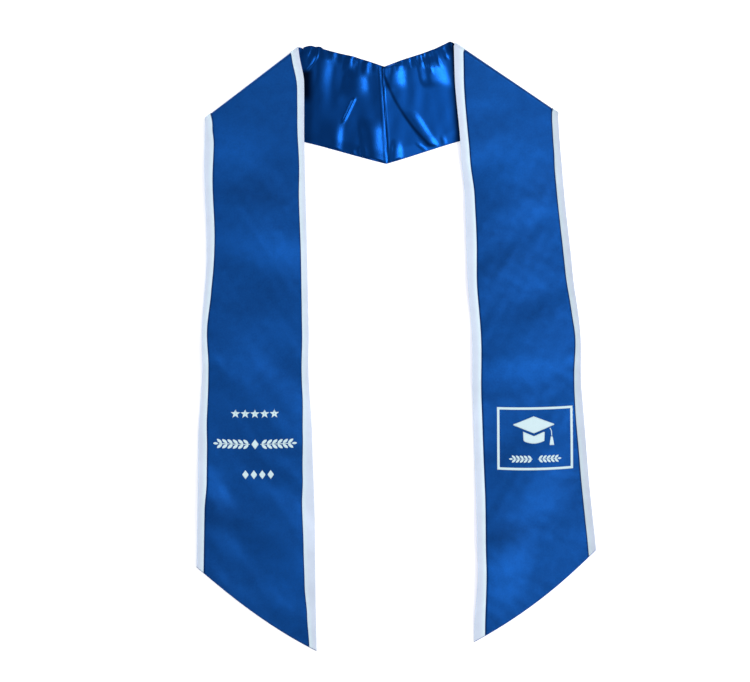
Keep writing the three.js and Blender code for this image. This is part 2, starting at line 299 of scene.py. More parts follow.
LEFT_LIE = Lie(
    side=Side.LEFT,
    shoulder=1.022,
    drop=1.008,
    lean=math.radians(1.1),
    pull=1,
    overhang=12 * MM,
    covered=(9 * MM, 42 * MM),
    # Painted light and shade: the left face is painted brighter, and the left lining darker.
    nap={"face": 1.12, "lining": 0.68},
    lifts=(
        Lift(at=0, rise=0),
        Lift(at=0.2, rise=0.9),
        Lift(at=0.32, rise=1),
        Lift(at=0.39, rise=1.5),
        Lift(at=0.55, rise=0.3),
        Lift(at=0.7, rise=-0.3),
        Lift(at=0.78, rise=-0.2),
        Lift(at=0.83, rise=2.9),
        Lift(at=0.89, rise=2.6),
        Lift(at=0.94, rise=4.1),
        Lift(at=0.98, rise=3.8),
        Lift(at=1.01, rise=2.8),
        Lift(at=1.04, rise=1.4),
        Lift(at=1.07, rise=-2.6),
    ),
    top_stray=0,
    trims={
        Edge.INNER: trim_widths(
            (0.0, 10.4), (0.06, 9.6), (0.13, 9.3), (0.2, 7.8), (0.26, 9.3), (0.36, 8.7), (0.5, 9),
            (0.58, 9.6), (0.65, 12), (0.72, 13.6), (0.77, 15.6), (0.84, 14.6), (0.9, 13.8),
            (0.95, 11.4), (1.0, 9.6),
        ),
        Edge.OUTER: trim_widths(
            (0.0, 7.5), (0.04, 10.5), (0.08, 12.4), (0.17, 11), (0.26, 11.6), (0.4, 9.4),
            (0.48, 7.6), (0.56, 9.2), (0.66, 10.4), (0.73, 12), (0.8, 12), (0.87, 9.8),
        ),
    },
    strays=(
        Stray(down=0, inner=0, outer=0),
        Stray(down=0.14, inner=-0.15, outer=0.1),
        Stray(down=0.35, inner=-0.1, outer=-0.45),
        Stray(down=0.48, inner=-0.1, outer=-0.05),
        Stray(down=0.55, inner=-0.25, outer=-0.2),
        Stray(down=0.68, inner=0.05, outer=0.1),
        Stray(down=0.83, inner=0.15, outer=0),
        Stray(down=1, inner=0.05, outer=-0.05),
    ),
    gathers=(
        Gather(at=0.11, reach=0.12, rise=0.5),
        Gather(at=0.21, reach=0.2, rise=0.8),
        Gather(at=0.32, reach=0.15, rise=0.6),
        Gather(at=0.43, reach=0.2, rise=1),
        Gather(at=0.54, reach=0.13, rise=0.6),
        Gather(at=0.66, reach=0.18, rise=0.8),
        Gather(at=0.79, reach=0.15, rise=0.7),
    ),
    swells=(
        Oval(down=0.13, across=0.3, length=0.75, width=0.4, turn=60, rise=0.35),
        Oval(down=0.22, across=0.75, length=0.7, width=0.38, turn=65, rise=0.8),
        Oval(down=0.37, across=0.3, length=0.8, width=0.4, turn=65, rise=0.9),
        Oval(down=0.52, across=0.85, length=0.6, width=0.35, turn=80, rise=0.7),
        Oval(down=0.66, across=0.3, length=0.8, width=0.45, turn=55, rise=0.8),
        Oval(down=0.8, across=0.95, length=0.7, width=0.3, turn=15, rise=0.6),
        Oval(down=0.88, across=0.15, length=0.8, width=0.4, turn=40, rise=1),
    ),
    # Painted highlights where rise is above 0, painted shade where it is below.
    sheens=(
        Oval(down=0.13, across=0.72, length=0.5, width=0.26, turn=80, rise=0.36),
        Oval(down=0.22, across=0.4, length=0.5, width=0.26, turn=85, rise=-0.28),
        Oval(down=0.315, across=0.52, length=0.6, width=0.22, turn=78, rise=0.32),
        Oval(down=0.82, across=0.9, length=0.4, width=0.25, turn=75, rise=-0.2),
        Oval(down=0.94, across=0.12, length=0.5, width=0.3, turn=60, rise=0.35),
    ),
)

RIGHT_LIE = Lie(
    side=Side.RIGHT,
    shoulder=0.963,
    drop=0.99,
    lean=math.radians(2.6),
    pull=0.1,
    overhang=13 * MM,
    covered=(-60 * MM, 300 * MM),
    # Painted light and shade: the inner trim is painted a little brighter, the outer trim darker.
    nap={"inner_trim": 1.03, "outer_trim": 0.8},
    lifts=(
        Lift(at=0, rise=0),
        Lift(at=0.25, rise=1),
        Lift(at=0.55, rise=0.6),
        Lift(at=0.75, rise=1.2),
        Lift(at=0.96, rise=4.6),
        Lift(at=1, rise=2),
    ),
    top_stray=4.2 * MM,
    trims={
        Edge.INNER: trim_widths(
            (0.0, 12), (0.14, 10.8), (0.2, 12), (0.26, 13.4), (0.33, 14), (0.42, 12), (0.5, 12),
            (0.62, 11.8), (0.76, 12.2), (0.88, 11.2), (1.0, 13.4),
        ),
        Edge.OUTER: trim_widths(
            (0.0, 7.5), (0.04, 8.6), (0.1, 8.8), (0.15, 10), (0.26, 9.8), (0.34, 9.8), (0.46, 8.6),
            (0.52, 7.4), (0.6, 9.4), (0.7, 11), (0.8, 10.5), (0.86, 10.4),
        ),
    },
    strays=(
        Stray(down=0, inner=0, outer=0),
        Stray(down=0.15, inner=0.05, outer=-0.2),
        Stray(down=0.23, inner=-0.2, outer=-0.2),
        Stray(down=0.38, inner=-0.1, outer=0),
        Stray(down=0.5, inner=-0.35, outer=0.3),
        Stray(down=0.62, inner=-0.1, outer=-0.15),
        Stray(down=0.78, inner=0, outer=-0.2),
        Stray(down=0.93, inner=0.15, outer=-0.05),
        Stray(down=1.08, inner=1, outer=-0.05),
    ),
    gathers=(
        Gather(at=0.12, reach=0.16, rise=0.6),
        Gather(at=0.22, reach=0.13, rise=0.6),
        Gather(at=0.33, reach=0.14, rise=0.6),
        Gather(at=0.44, reach=0.12, rise=0.5),
        Gather(at=0.57, reach=0.2, rise=1),
        Gather(at=0.69, reach=0.18, rise=0.8),
        Gather(at=0.81, reach=0.15, rise=0.8),
    ),
    swells=(
        Oval(down=0.1, across=0.35, length=0.7, width=0.35, turn=60, rise=0.35),
        Oval(down=0.22, across=0.5, length=0.9, width=0.4, turn=55, rise=0.9),
        Oval(down=0.38, across=0.2, length=0.6, width=0.35, turn=70, rise=0.6),
        Oval(down=0.52, across=0.55, length=0.9, width=0.42, turn=75, rise=1),
        Oval(down=0.72, across=0.7, length=0.7, width=0.4, turn=60, rise=0.7),
        Oval(down=0.82, across=0.25, length=0.7, width=0.4, turn=60, rise=0.8),
        Oval(down=0.94, across=0.1, length=0.6, width=0.35, turn=30, rise=0.7),
    ),
    # Painted highlights where rise is above 0, painted shade where it is below.
    sheens=(
        Oval(down=0.06, across=0.2, length=0.4, width=0.16, turn=75, rise=0.25),
        Oval(down=0.17, across=0.4, length=0.5, width=0.26, turn=80, rise=0.42),
        Oval(down=0.21, across=0.9, length=0.35, width=0.24, turn=60, rise=-0.3),
        Oval(down=0.36, across=0.4, length=0.5, width=0.22, turn=80, rise=-0.3),
        Oval(down=0.57, across=0.35, length=0.6, width=0.2, turn=88, rise=0.45),
        Oval(down=0.77, across=0.9, length=0.35, width=0.3, turn=60, rise=-0.28),
        Oval(down=0.84, across=0.56, length=0.3, width=0.24, turn=80, rise=0.2),
        Oval(down=0.87, across=0.28, length=0.3, width=0.14, turn=80, rise=-0.32),
        Oval(down=0.97, across=0.12, length=0.5, width=0.32, turn=60, rise=0.3),
    ),
)


@dataclass(frozen=True)
class Fold:
    """A fold of the neck lining, in millimetres from the notch of the neck, x right and y down.

    Attributes:
        top: Where its crest starts.
        middle: A point that the crest runs through.
        foot: Where the crest ends.
        left: The width of its left flank at the top.
        right: The width of its right flank at the top.
        rise: The crest's height, negative for a crease.
        spread: How many times wider it is at its foot.
        power: How round the crest is, low where it is sharp.
        start: The share of its length over which it rises.
        end: The share of its length over which it dies out.
        dark: How much of it lies in shade.
    """

    top: tuple[float, float]
    middle: tuple[float, float]
    foot: tuple[float, float]
    left: float
    right: float
    rise: float
    spread: float = 1
    power: float = 2
    start: float = 0.25
    end: float = 0.25
    dark: float = 0

    def form(self, x: Array, y: Array) -> Array:
        """Work out the fold's form at points of the lining, from 0 beside it to 1 on its crest.

        The crest is the parabola x(y) through the three points. The distance from it is taken at
        right angles to the crest, and a flank falls off as a bump of that distance.

        Args:
            x: Distances right of the notch, in millimetres.
            y: Distances down from the notch, in millimetres.

        Returns:
            Shares of the fold's rise.
        """
        rows = np.array([self.top, self.middle, self.foot], float)
        crest = np.polyfit(rows[:, 1], rows[:, 0], 2)
        run = (y - self.top[1]) / (self.foot[1] - self.top[1])
        inside = np.clip(y, min(self.top[1], self.foot[1]), max(self.top[1], self.foot[1]))
        slope = np.polyval(np.polyder(crest), inside)
        away = (x - np.polyval(crest, inside)) / np.sqrt(1 + slope**2)
        widen = lerp(1, self.spread, np.clip(run, 0, 1))
        flank = np.where(away < 0, self.left, self.right) * widen
        ends = smooth(run, 0, self.start) * smooth(1 - run, 0, self.end)
        return bump(away / flank, self.power) * ends


# The folds of the neck lining, from left to right.
NECK_FOLDS: tuple[Fold, ...] = (
    Fold((-94, -27), (-95, -16), (-103, -6.5), 2.2, 2.2, 0.75, start=0.1, end=0.15),
    Fold((-84.4, -28), (-86.6, -8), (-103.5, 9.5), 2.4, 2.4, 0.88, start=0.1, end=0.1),
    Fold((-73.5, -26), (-77.5, 5), (-85, 46), 26, 14, 2.4, spread=1.15, start=0.3, end=0.6),
    Fold((-45.5, -16), (-45.5, -3), (-48, 8), 6.5, 6.5, 1.1, start=0.3, end=0.5),
    Fold((-36.5, -14), (-36.5, -6), (-36.5, 2), 4, 4, 0.6, start=0.3, end=0.5),
    Fold((-24, -10), (-24, 3), (-22.5, 16), 5.5, 5.5, 0.95, start=0.3, end=0.5),
    Fold((-34, 0), (-34, 18), (-38, 42), 16, 12, 2.2, spread=1.6, start=0.4, end=0.4),
    Fold((-36.5, 38), (-44, 54), (-53.5, 74), 3.4, 2.8, 1.5, power=1.7, start=0.12, end=0.3),
    Fold((-57, 58), (-61, 84), (-62.6, 118), 22, 11, 2.05, start=0.45, end=0.02),
    Fold((-18, 60), (-14.5, 90), (-12, 124), 18, 16, 2.9, start=0.35, end=0.02),
    Fold((-6.8, -4), (-3.6, 46), (2, 124), 1.4, 1.4, 0.34, start=0.06, end=0.02),
    Fold((-2.8, -6), (-0.4, 42), (5.7, 124), 1.6, 1.6, -0.4, start=0.05, end=0.02, dark=0.85),
    Fold((-1.3, -6), (1.2, 46), (7.4, 124), 1.3, 1.4, 0.32, start=0.06, end=0.02),
    Fold((9.5, -8), (10.5, 8), (10.5, 32), 15, 19, 3, start=0.2, end=0.35),
    Fold((-1, 6), (20.5, 54), (59, 100), 3.2, 3.2, -0.1, start=0.1, end=0.04, dark=0.8),
    Fold((30, 52), (44, 73), (62, 101), 11, 8, 1.7, start=0.3, end=0.1),
    Fold((14, 88), (14, 102), (14, 126), 6, 8, 1.7, spread=1.6, start=0.4, end=0.02),
    Fold((39, 94), (45, 99), (54, 106), 2.5, 3.2, 0.9, start=0.3, end=0.2),
    Fold((72, 84), (73.5, 91), (76, 100), 4, 5, 0.6, start=0.4, end=0.1),
    Fold((29, -16), (30.5, -6), (33, 4), 3, 3, 0.6, start=0.2, end=0.3),
    Fold((38, -20), (40, -9), (44, 2), 3, 3, 0.6, start=0.2, end=0.3),
    Fold((46, -24), (48.5, -10), (53, 6), 3.5, 3.5, 0.8, start=0.2, end=0.3),
    Fold((53, -27), (55.5, -8), (60, 12), 3.5, 3.5, 0.9, start=0.15, end=0.3),
    Fold((61, -30), (65, -14), (72, 4), 3.5, 3.5, 0.85, start=0.15, end=0.3),
    Fold((71, -33), (74, -20), (80, -6), 3.5, 3.5, 0.85, start=0.15, end=0.3),
    Fold((54, -14), (57, 6), (64, 30), 16, 24, 4, start=0.4, end=0.35),
    Fold((83.5, -33), (82.5, -27), (87, -20), 2.2, 2.2, 0.7, start=0.1, end=0.3),
    Fold((-31, 98), (-29, 106), (-28, 118), 3, 4, 0.8, start=0.3, end=0.05),
    Fold((-40, 102), (-39, 108), (-38, 116), 3, 4, 0.7, start=0.3, end=0.05),
)


@dataclass(frozen=True)
class Waves:
    """Fine waves of the cloth: a seeded sum of plane sine waves, each a (1 + sin) / 2.

    Attributes:
        seed: The seed of the random draws.
        count: How many waves are added.
        shortest: The shortest wavelength.
        longest: The longest wavelength.
        heading: The mean heading of the waves in radians, 0 across the band.
        scatter: How far, in radians, the headings scatter to each side.
        rise: The height of all the waves together.
        wander: How far, in radians, a wave strays from a straight line.
    """

    seed: int
    count: int
    shortest: float
    longest: float
    heading: float
    scatter: float
    rise: float
    wander: float = 0.8

    def height(self, x: Array, y: Array) -> Array:
        """Work out the height of the waves.

        Args:
            x: Distances across, in metres.
            y: Distances along, in metres.

        Returns:
            Heights in metres, from 0 to rise.
        """
        draw = np.random.default_rng(self.seed)
        total = np.zeros(np.broadcast(x, y).shape)
        sideways, lengthways = 3.1 / self.longest, 2.3 / self.longest
        for _ in range(self.count):
            wavelength = draw.uniform(self.shortest, self.longest)
            heading = self.heading + draw.uniform(-self.scatter, self.scatter)
            phase = draw.uniform(0, 2 * math.pi)
            wander = self.wander * np.sin(x * sideways + phase) * np.sin(y * lengthways)
            forth = x * math.cos(heading) + y * math.sin(heading)
            total += (1 + np.sin(2 * math.pi * forth / wavelength + phase + wander)) / 2
        return self.rise * total / self.count


@dataclass(frozen=True)
class Drape:
    """The fine relief that the cloth has over the model's plain solids.

    Attributes:
        left_waves: The broad waves of the left panel.
        right_waves: The broad waves of the right panel.
        ripples: The fine waves of both panels.
        neck_waves: The waves of the neck lining.
        narrow: The flank's width below which a fold is added on top of the others.
        puff: How far the neck lining stands off the cloth behind it.
        puff_margin: How far from the sewn edges it stands off in full.
        sewn_margin: How far from the sewn edges its folds are there in full.
        cover_rise: How high it may stand where the panel lies over it.
        cover_reach: How far from the panel it is kept down.
        cover_slack: How much higher it may stand at the end of that reach.
        softness: How gently it is kept down.
        pucker_rise: How high a seam's puckers are, from trough to crest.
        pucker_pitch: From one pucker to the next.
        pucker_reach: How far from the seam they reach.
        pucker_drift: The pitches at which the puckers bunch up, and by how many radians.
    """

    left_waves: Waves = Waves(11, 7, 36 * MM, 95 * MM, math.radians(70), 0.55, 2.2 * MM)
    right_waves: Waves = Waves(23, 7, 36 * MM, 95 * MM, math.radians(74), 0.55, 2.2 * MM)
    ripples: Waves = Waves(5, 9, 12 * MM, 26 * MM, math.radians(80), 0.9, 0.5 * MM)
    neck_waves: Waves = Waves(37, 8, 18 * MM, 45 * MM, math.radians(8), 0.5, 0.8 * MM)
    narrow: float = 4 * MM
    puff: float = 1.9 * MM
    puff_margin: float = 15 * MM
    sewn_margin: float = 3 * MM
    cover_rise: float = 1.9 * MM
    cover_reach: float = 26 * MM
    cover_slack: float = 5.5 * MM
    softness: float = 0.4 * MM
    pucker_rise: float = 0.22 * MM
    pucker_pitch: float = 7.5 * MM
    pucker_reach: float = 6 * MM
    pucker_drift: tuple[tuple[float, float], ...] = ((19 * MM, 1.3), (7.3 * MM, 0.9))

    def lining_height(self, x: Array, y: Array, from_edge: Array, from_panel: Array) -> Array:
        """Work out how far the neck lining stands off the cloth behind it.

        A low puff over the whole neck carries the broad folds of the table and some fine waves.
        Beside a front panel it is kept down to what fits under the panel, by a smooth minimum of
        the two heights, and further under the panel it dies out. The narrow folds come on top and
        end at the panel. All of it dies out at the sewn edges.

        Args:
            x: Distances right of the notch, in metres.
            y: Distances down from the notch, in metres.
            from_edge: Distances from the nearest sewn edge.
            from_panel: Distances from the front panel that lies over the neck.

        Returns:
            Heights in metres.
        """
        puff = self.puff * smooth(from_edge, 0, self.puff_margin)
        narrow, broad = (
            sum(
                fold.rise * MM * fold.form(x / MM, y / MM)
                for fold in NECK_FOLDS
                if (fold.left < self.narrow / MM) == is_narrow
            )
            for is_narrow in (True, False)
        )
        waves = self.neck_waves.height(x, y) * smooth(from_edge, 0, self.puff_margin)
        height = puff + broad + waves
        cover = self.cover_rise + self.cover_slack * smooth(from_panel, 0, self.cover_reach)
        least = np.logaddexp(-np.maximum(height, 0) / self.softness, -cover / self.softness)
        sewn = smooth(from_edge, 0, self.sewn_margin)
        covered = -self.softness * least * smooth(from_panel, -self.cover_reach, 0)
        return sewn * (covered + narrow * smooth(from_panel, -1 * MM, 1 * MM))

    def panel_height(self, side: Side, s: Array, lateral: Array) -> Array:
        """Add the broad and the fine waves of a panel, in metres."""
        waves = self.left_waves if side is Side.LEFT else self.right_waves
        return waves.height(lateral, s) + self.ripples.height(lateral, s)

    def pucker(self, s: Array, from_seam: Array) -> Array:
        """Work out the puckers of a seam: a sine along it that dies out away from it.

        Args:
            s: Lengths along the band.
            from_seam: Distances from the seam.

        Returns:
            Heights in metres, about 0.
        """
        drift = enumerate(self.pucker_drift)
        wander = sum(share * np.sin(s / pitch + k) for k, (pitch, share) in drift)
        wave = np.sin(2 * math.pi * s / self.pucker_pitch + wander)
        return self.pucker_rise / 2 * wave * bump(from_seam / self.pucker_reach)


class Band:
    """One half of the stole as a surface, worked out as the right half and then put on its side."""

    def __init__(self, lie: Lie, sizes: Sizes, drape: Drape) -> None:
        """Lay out the pattern.

        Args:
            lie: How this half lies.
            sizes: The sizes of the stole.
            drape: The fine relief of the cloth.
        """
        self.lie, self.sizes, self.drape = lie, sizes, drape
        self.shoulder = lie.shoulder * sizes.shoulder_length
        self.drop = lie.drop * sizes.drop_length
        self.pull = lie.pull * sizes.edge_pull
        self.length = self.shoulder + self.drop
        rise, hang = sizes.mitre_rise, lie.lean - math.pi / 2
        self.middle = np.array([0, -sizes.neck_width / 2 / math.cos(rise)])
        self.forward = np.array([math.cos(rise), math.sin(rise)])
        self.outward = np.array([math.sin(rise), -math.cos(rise)])
        self.panel_outward = np.array([-math.sin(hang), math.cos(hang)])
        fold = (rise + hang) / 2
        self.fold_line = np.array([math.cos(fold), math.sin(fold)])
        self.past_fold = np.array([-math.sin(fold), math.cos(fold)])
        self.fold_middle = self.middle + self.forward * self.shoulder
        self.neck_corner = self.pattern(self.row_through(0, Edge.INNER), 0.0)
        self.offset = np.zeros(2)

    def width(self, s: Array | float) -> Array | float:
        """Give the band's width, which grows evenly from the centre back to the hem."""
        return lerp(self.sizes.neck_width, self.sizes.hem_width, s / self.length)

    def trim_width(self, s: Array, edge: Edge) -> Array:
        """Work out how wide a trim shows, smoothly between the rows of its table.

        Args:
            s: Lengths along the trim's edge of the band.
            edge: That edge.

        Returns:
            Widths in metres.
        """
        rows = self.lie.trims[edge]
        start = self.row_through(0, edge)
        end = self.hem_end(edge)
        down = (s - start) / (end - start)
        value = np.full(s.shape, rows[0].width, float)
        for row, after in zip(rows, rows[1:]):
            value += (after.width - row.width) * smooth(down, row.down, after.down)
        return value * MM

    def pattern(self, s: Array | float, across: Array | float) -> Array:
        """Work out points of the flat pattern: along the band's middle, then sideways.

        Args:
            s: Lengths along the band.
            across: Shares across the band.

        Returns:
            Points (..., 2).
        """
        s, across = np.broadcast_arrays(s, across)
        aside = (across - 0.5) * self.width(s)
        return self.middle + s[..., None] * self.forward + aside[..., None] * self.outward

    def straight_to(self, edge: Edge, measure: Array, at: float, target: Array | float) -> Array:
        """Find s on an edge where a straight measure of the pattern, u . point - at, has a value.

        Args:
            edge: The band's edge.
            measure: The unit vector u.
            at: What is taken off the measure.
            target: The value or values that are looked for.

        Returns:
            s, worked out by proportion between the edge's two ends.
        """
        first, last = (self.pattern(s, edge.value) @ measure - at for s in (0.0, self.length))
        return self.length * (target - first) / (last - first)

    def row_through(self, distance: Array | float, edge: Edge) -> Array:
        """Find s on an edge at a distance past the fold line."""
        fold = self.fold_middle @ self.past_fold
        return self.straight_to(edge, self.past_fold, fold, distance)

    def seam_end(self, edge: Edge) -> float:
        """Find s on an edge at the centre-back seam."""
        return self.straight_to(edge, np.array([1.0, 0.0]), 0, -self.sizes.seam_lap)

    def hem_end(self, edge: Edge, beyond: float = 0) -> float:
        """Find s on an edge at the slanting hem, and beyond it by some length."""
        slant = (0.5 - edge.value) * self.sizes.hem_width * math.tan(self.sizes.hem_slant)
        return self.length + slant + beyond

    def stray(self, down: Array, across: Array) -> Array:
        """Work out how far a panel strays sideways, smoothly between the rows of its table.

        Args:
            down: Shares of the panel's drop.
            across: Shares across the band.

        Returns:
            Distances in metres, positive outwards.
        """
        strays = self.lie.strays
        edges = []
        for column in ("inner", "outer"):
            value = np.full(down.shape, getattr(strays[0], column), float)
            for row, after in zip(strays, strays[1:]):
                step = getattr(after, column) - getattr(row, column)
                value += step * smooth(down, row.down, after.down)
            edges.append(value * self.sizes.edge_stray)
        top = self.lie.top_stray * (1 - smooth(down, 0, self.sizes.top_share))
        return lerp(-edges[0] - top, edges[1], across)

    def gather_height(self, x: Array, across: Array) -> Array:
        """Add up the gathers that lift every layer along the neck edge, each a bump both ways.

        Args:
            x: Distances from the centre back.
            across: Shares across the band.

        Returns:
            Heights in metres.
        """
        height = np.zeros(x.shape)
        for gather in self.lie.gathers:
            beside = bump(2 * (x - gather.at * self.neck_corner[0]) / self.sizes.gather_width)
            rise = self.sizes.gather_rise * gather.rise
            height += rise * beside * bump(across / gather.reach)
        return height

    def oval_rise(self, ovals: tuple[Oval, ...], s: Array, across: Array) -> Array:
        """Add up what some ovals on the panel add, each a bump of the distance from its middle.

        Args:
            ovals: The ovals.
            s: Lengths along the band.
            across: Shares across the band.

        Returns:
            The sum at each point, in the unit of the ovals' rise.
        """
        total = np.zeros(s.shape)
        hem = self.sizes.hem_width
        for oval in ovals:
            aside = (across - oval.across) * self.width(s)
            along = s - self.shoulder - oval.down * self.drop
            x, y = turned(aside, along, -math.radians(oval.turn) + math.pi / 2)
            total += oval.rise * bump(np.hypot(y / (oval.width * hem), x / (oval.length * hem)))
        return total

    def lay(self, s: Array, across: Array, height: Array, is_lining: bool = False) -> Array:
        """Lay a bit of cloth in its place.

        The pattern point is drawn in beside the fold, and carried over a half cylinder round the
        fold line. Past the fold it comes down to the ground, strays sideways and swells. Before the
        fold it is lifted by the gathers, and the lining by its folds as well.

        Args:
            s: Lengths along the band.
            across: Shares across the band.
            height: Heights from the middle of the cloth, positive towards the face.
            is_lining: Whether the neck's lining folds apply.

        Returns:
            Points (..., 3) in the model's frame.
        """
        sizes = self.sizes
        down = np.maximum((s - self.shoulder) / self.drop, 0)
        bow = sizes.hem_bow * 4 * across * (1 - across) * down**2
        flat = self.pattern(s, across) + bow[..., None] * self.forward
        past = (flat - self.fold_middle) @ self.past_fold
        drawn = self.pull * bump(past / np.where(past < 0, sizes.neck_pull, sizes.panel_pull))
        flat = flat + (drawn * (1 - across))[..., None] * self.fold_line
        turn = np.clip(past / sizes.fold_radius, 0, math.pi)
        radius = sizes.fold_radius + height
        after = np.maximum(past - math.pi * sizes.fold_radius, 0)
        out = np.minimum(past, 0) - after + radius * np.sin(turn)
        along = (flat - self.fold_middle) @ self.fold_line
        plan = self.fold_middle + along[..., None] * self.fold_line
        plan = plan + out[..., None] * self.past_fold
        z = sizes.fold_axis - radius * np.cos(turn)
        plan = plan - (self.neck_drop(plan[..., 0], across) * (past < 0))[..., None] * [0, 1]
        neck = self.gather_height(plan[..., 0], across)
        if is_lining:
            x, y = turned(plan[..., 0] * self.lie.side.value, plan[..., 1], sizes.neck_turn)
            from_edge = np.minimum(across, 1 - across) * sizes.neck_width
            neck = neck + self.drape.lining_height(x, -y, from_edge, self.from_panel(plan))
        taper = math.atan((sizes.hem_width - sizes.neck_width) / 2 / self.length)
        away = np.array(turned(self.outward[0], self.outward[1], taper))
        edge = self.pattern(0.0, 1.0)
        settled = smooth(
            (plan - edge) @ away, sizes.settle_margin, sizes.settle_margin + sizes.settle_length
        )
        lateral = (across - 0.5) * self.width(s)
        waves = self.drape.panel_height(self.lie.side, s, lateral)
        swells = sizes.swell_rise * self.oval_rise(self.lie.swells, s, across)
        panel = settled * (swells + waves - sizes.panel_fall)
        on_panel = turn >= math.pi
        z = z + np.where(past <= 0, neck, 0) + np.where(on_panel, panel, 0)
        aside = self.stray(down, across) * smooth(turn, 0, math.pi)
        plan = plan + aside[..., None] * self.panel_outward
        x, y = turned(plan[..., 0] * self.lie.side.value, plan[..., 1], sizes.neck_turn)
        return np.stack([x + self.offset[0], y + self.offset[1], z], axis=-1)

    def panel_place(self, down: float, across: float) -> tuple[float, float]:
        """Give s and the share across of a place on the panel, down being a share of its drop."""
        return self.shoulder + down * self.drop, across

    def neck_drop(self, x: Array, across: Array) -> Array:
        """Work out how far the neck band drops: its lower edge sags, and its neck edge lifts.

        Args:
            x: Distances from the centre back.
            across: Shares across the band.

        Returns:
            Distances in metres, negative where the band lifts.
        """
        share = x / self.neck_corner[0]
        sag = self.sizes.neck_sag * across**2 * bump(share)
        at, rise = zip(*((row.at, row.rise) for row in self.lie.lifts))
        lift = np.interp(share, at, rise) * MM
        return sag - lift * (1 - across) ** self.sizes.lift_power

    def fold_share(self, s: Array, across: Array) -> Array:
        """Work out where the cloth turns over at the fold's edge, as a bump across the fold.

        Args:
            s: Lengths along the band.
            across: Shares across the band.

        Returns:
            1 on the edge, and 0 a third of the turn away from it.
        """
        past = (self.pattern(s, across) - self.fold_middle) @ self.past_fold
        turn = math.pi * self.sizes.fold_radius
        return bump((past - turn / 2) / (turn / 3))

    def from_panel(self, plan: Array) -> Array:
        """Measure how far points of the neck lie from the inner edge of the panel."""
        return -(plan - self.neck_corner) @ self.panel_outward

    def rows(self, sampling: Sampling, beyond: float = 0) -> tuple[Array, Array]:
        """Lay out rows across the band from the seam to the hem, turning with the seam and fold.

        Args:
            sampling: How many rows each stretch takes.
            beyond: How far the last row lies past the hem.

        Returns:
            s on the inner edge and s on the outer edge, for each row.
        """
        turn = math.pi * self.sizes.fold_radius
        start = np.array([self.seam_end(edge) for edge in Edge])
        fold = [np.array([self.row_through(d, edge) for edge in Edge]) for d in (0, turn)]
        hem = np.array([self.hem_end(edge, beyond) for edge in Edge])
        fine = sampling.edge_steps
        close = sampling.seam_steps / self.shoulder
        neck = np.union1d(close, np.linspace(0, 1, sampling.neck_rows))
        round_fold = np.linspace(0, 1, sampling.fold_rows)[1:-1]
        panel = np.union1d(1 - fine / self.drop, np.linspace(0, 1, sampling.panel_rows))
        stretches = ((start, fold[0], neck), (fold[0], fold[1], round_fold), (fold[1], hem, panel))
        table = np.concatenate([lerp(a, b, share[:, None]) for a, b, share in stretches])
        return table[:, 0], table[:, 1]


@dataclass(frozen=True)
class Sampling:
    """How finely the cloth is sampled.

    Attributes:
        neck_rows: Even rows from the centre back to the fold.
        fold_rows: Rows round the fold.
        panel_rows: Even rows from the fold to the hem.
        lining_columns: Even columns of the lining.
        face_columns: Those of the face.
        trim_columns: Those of a trim.
        rim_columns: Columns at which a band's outline is measured.
        edge_roll: Over what distance the cloth rounds off towards an edge.
        seam_roll: The same towards the centre-back seam.
    """

    neck_rows: int = 130
    fold_rows: int = 16
    panel_rows: int = 262
    lining_columns: int = 84
    face_columns: int = 62
    trim_columns: int = 12
    rim_columns: int = 41
    edge_roll: float = 0.7 * MM
    seam_roll: float = 0.08 * MM

    @property
    def clear_of_roll(self) -> float:
        """How far from an edge the even columns start."""
        return 1.3 * self.edge_roll

    @property
    def seam_steps(self) -> Array:
        """Distances from the centre-back seam at which the cloth is sampled."""
        return self.seam_roll * np.array([0, 0.3, 1, 2, 5])

    @property
    def edge_steps(self) -> Array:
        """Distances from an edge of the cloth at which its roll is sampled."""
        return self.edge_roll * np.array([0, 0.12, 0.35, 0.65, 1])


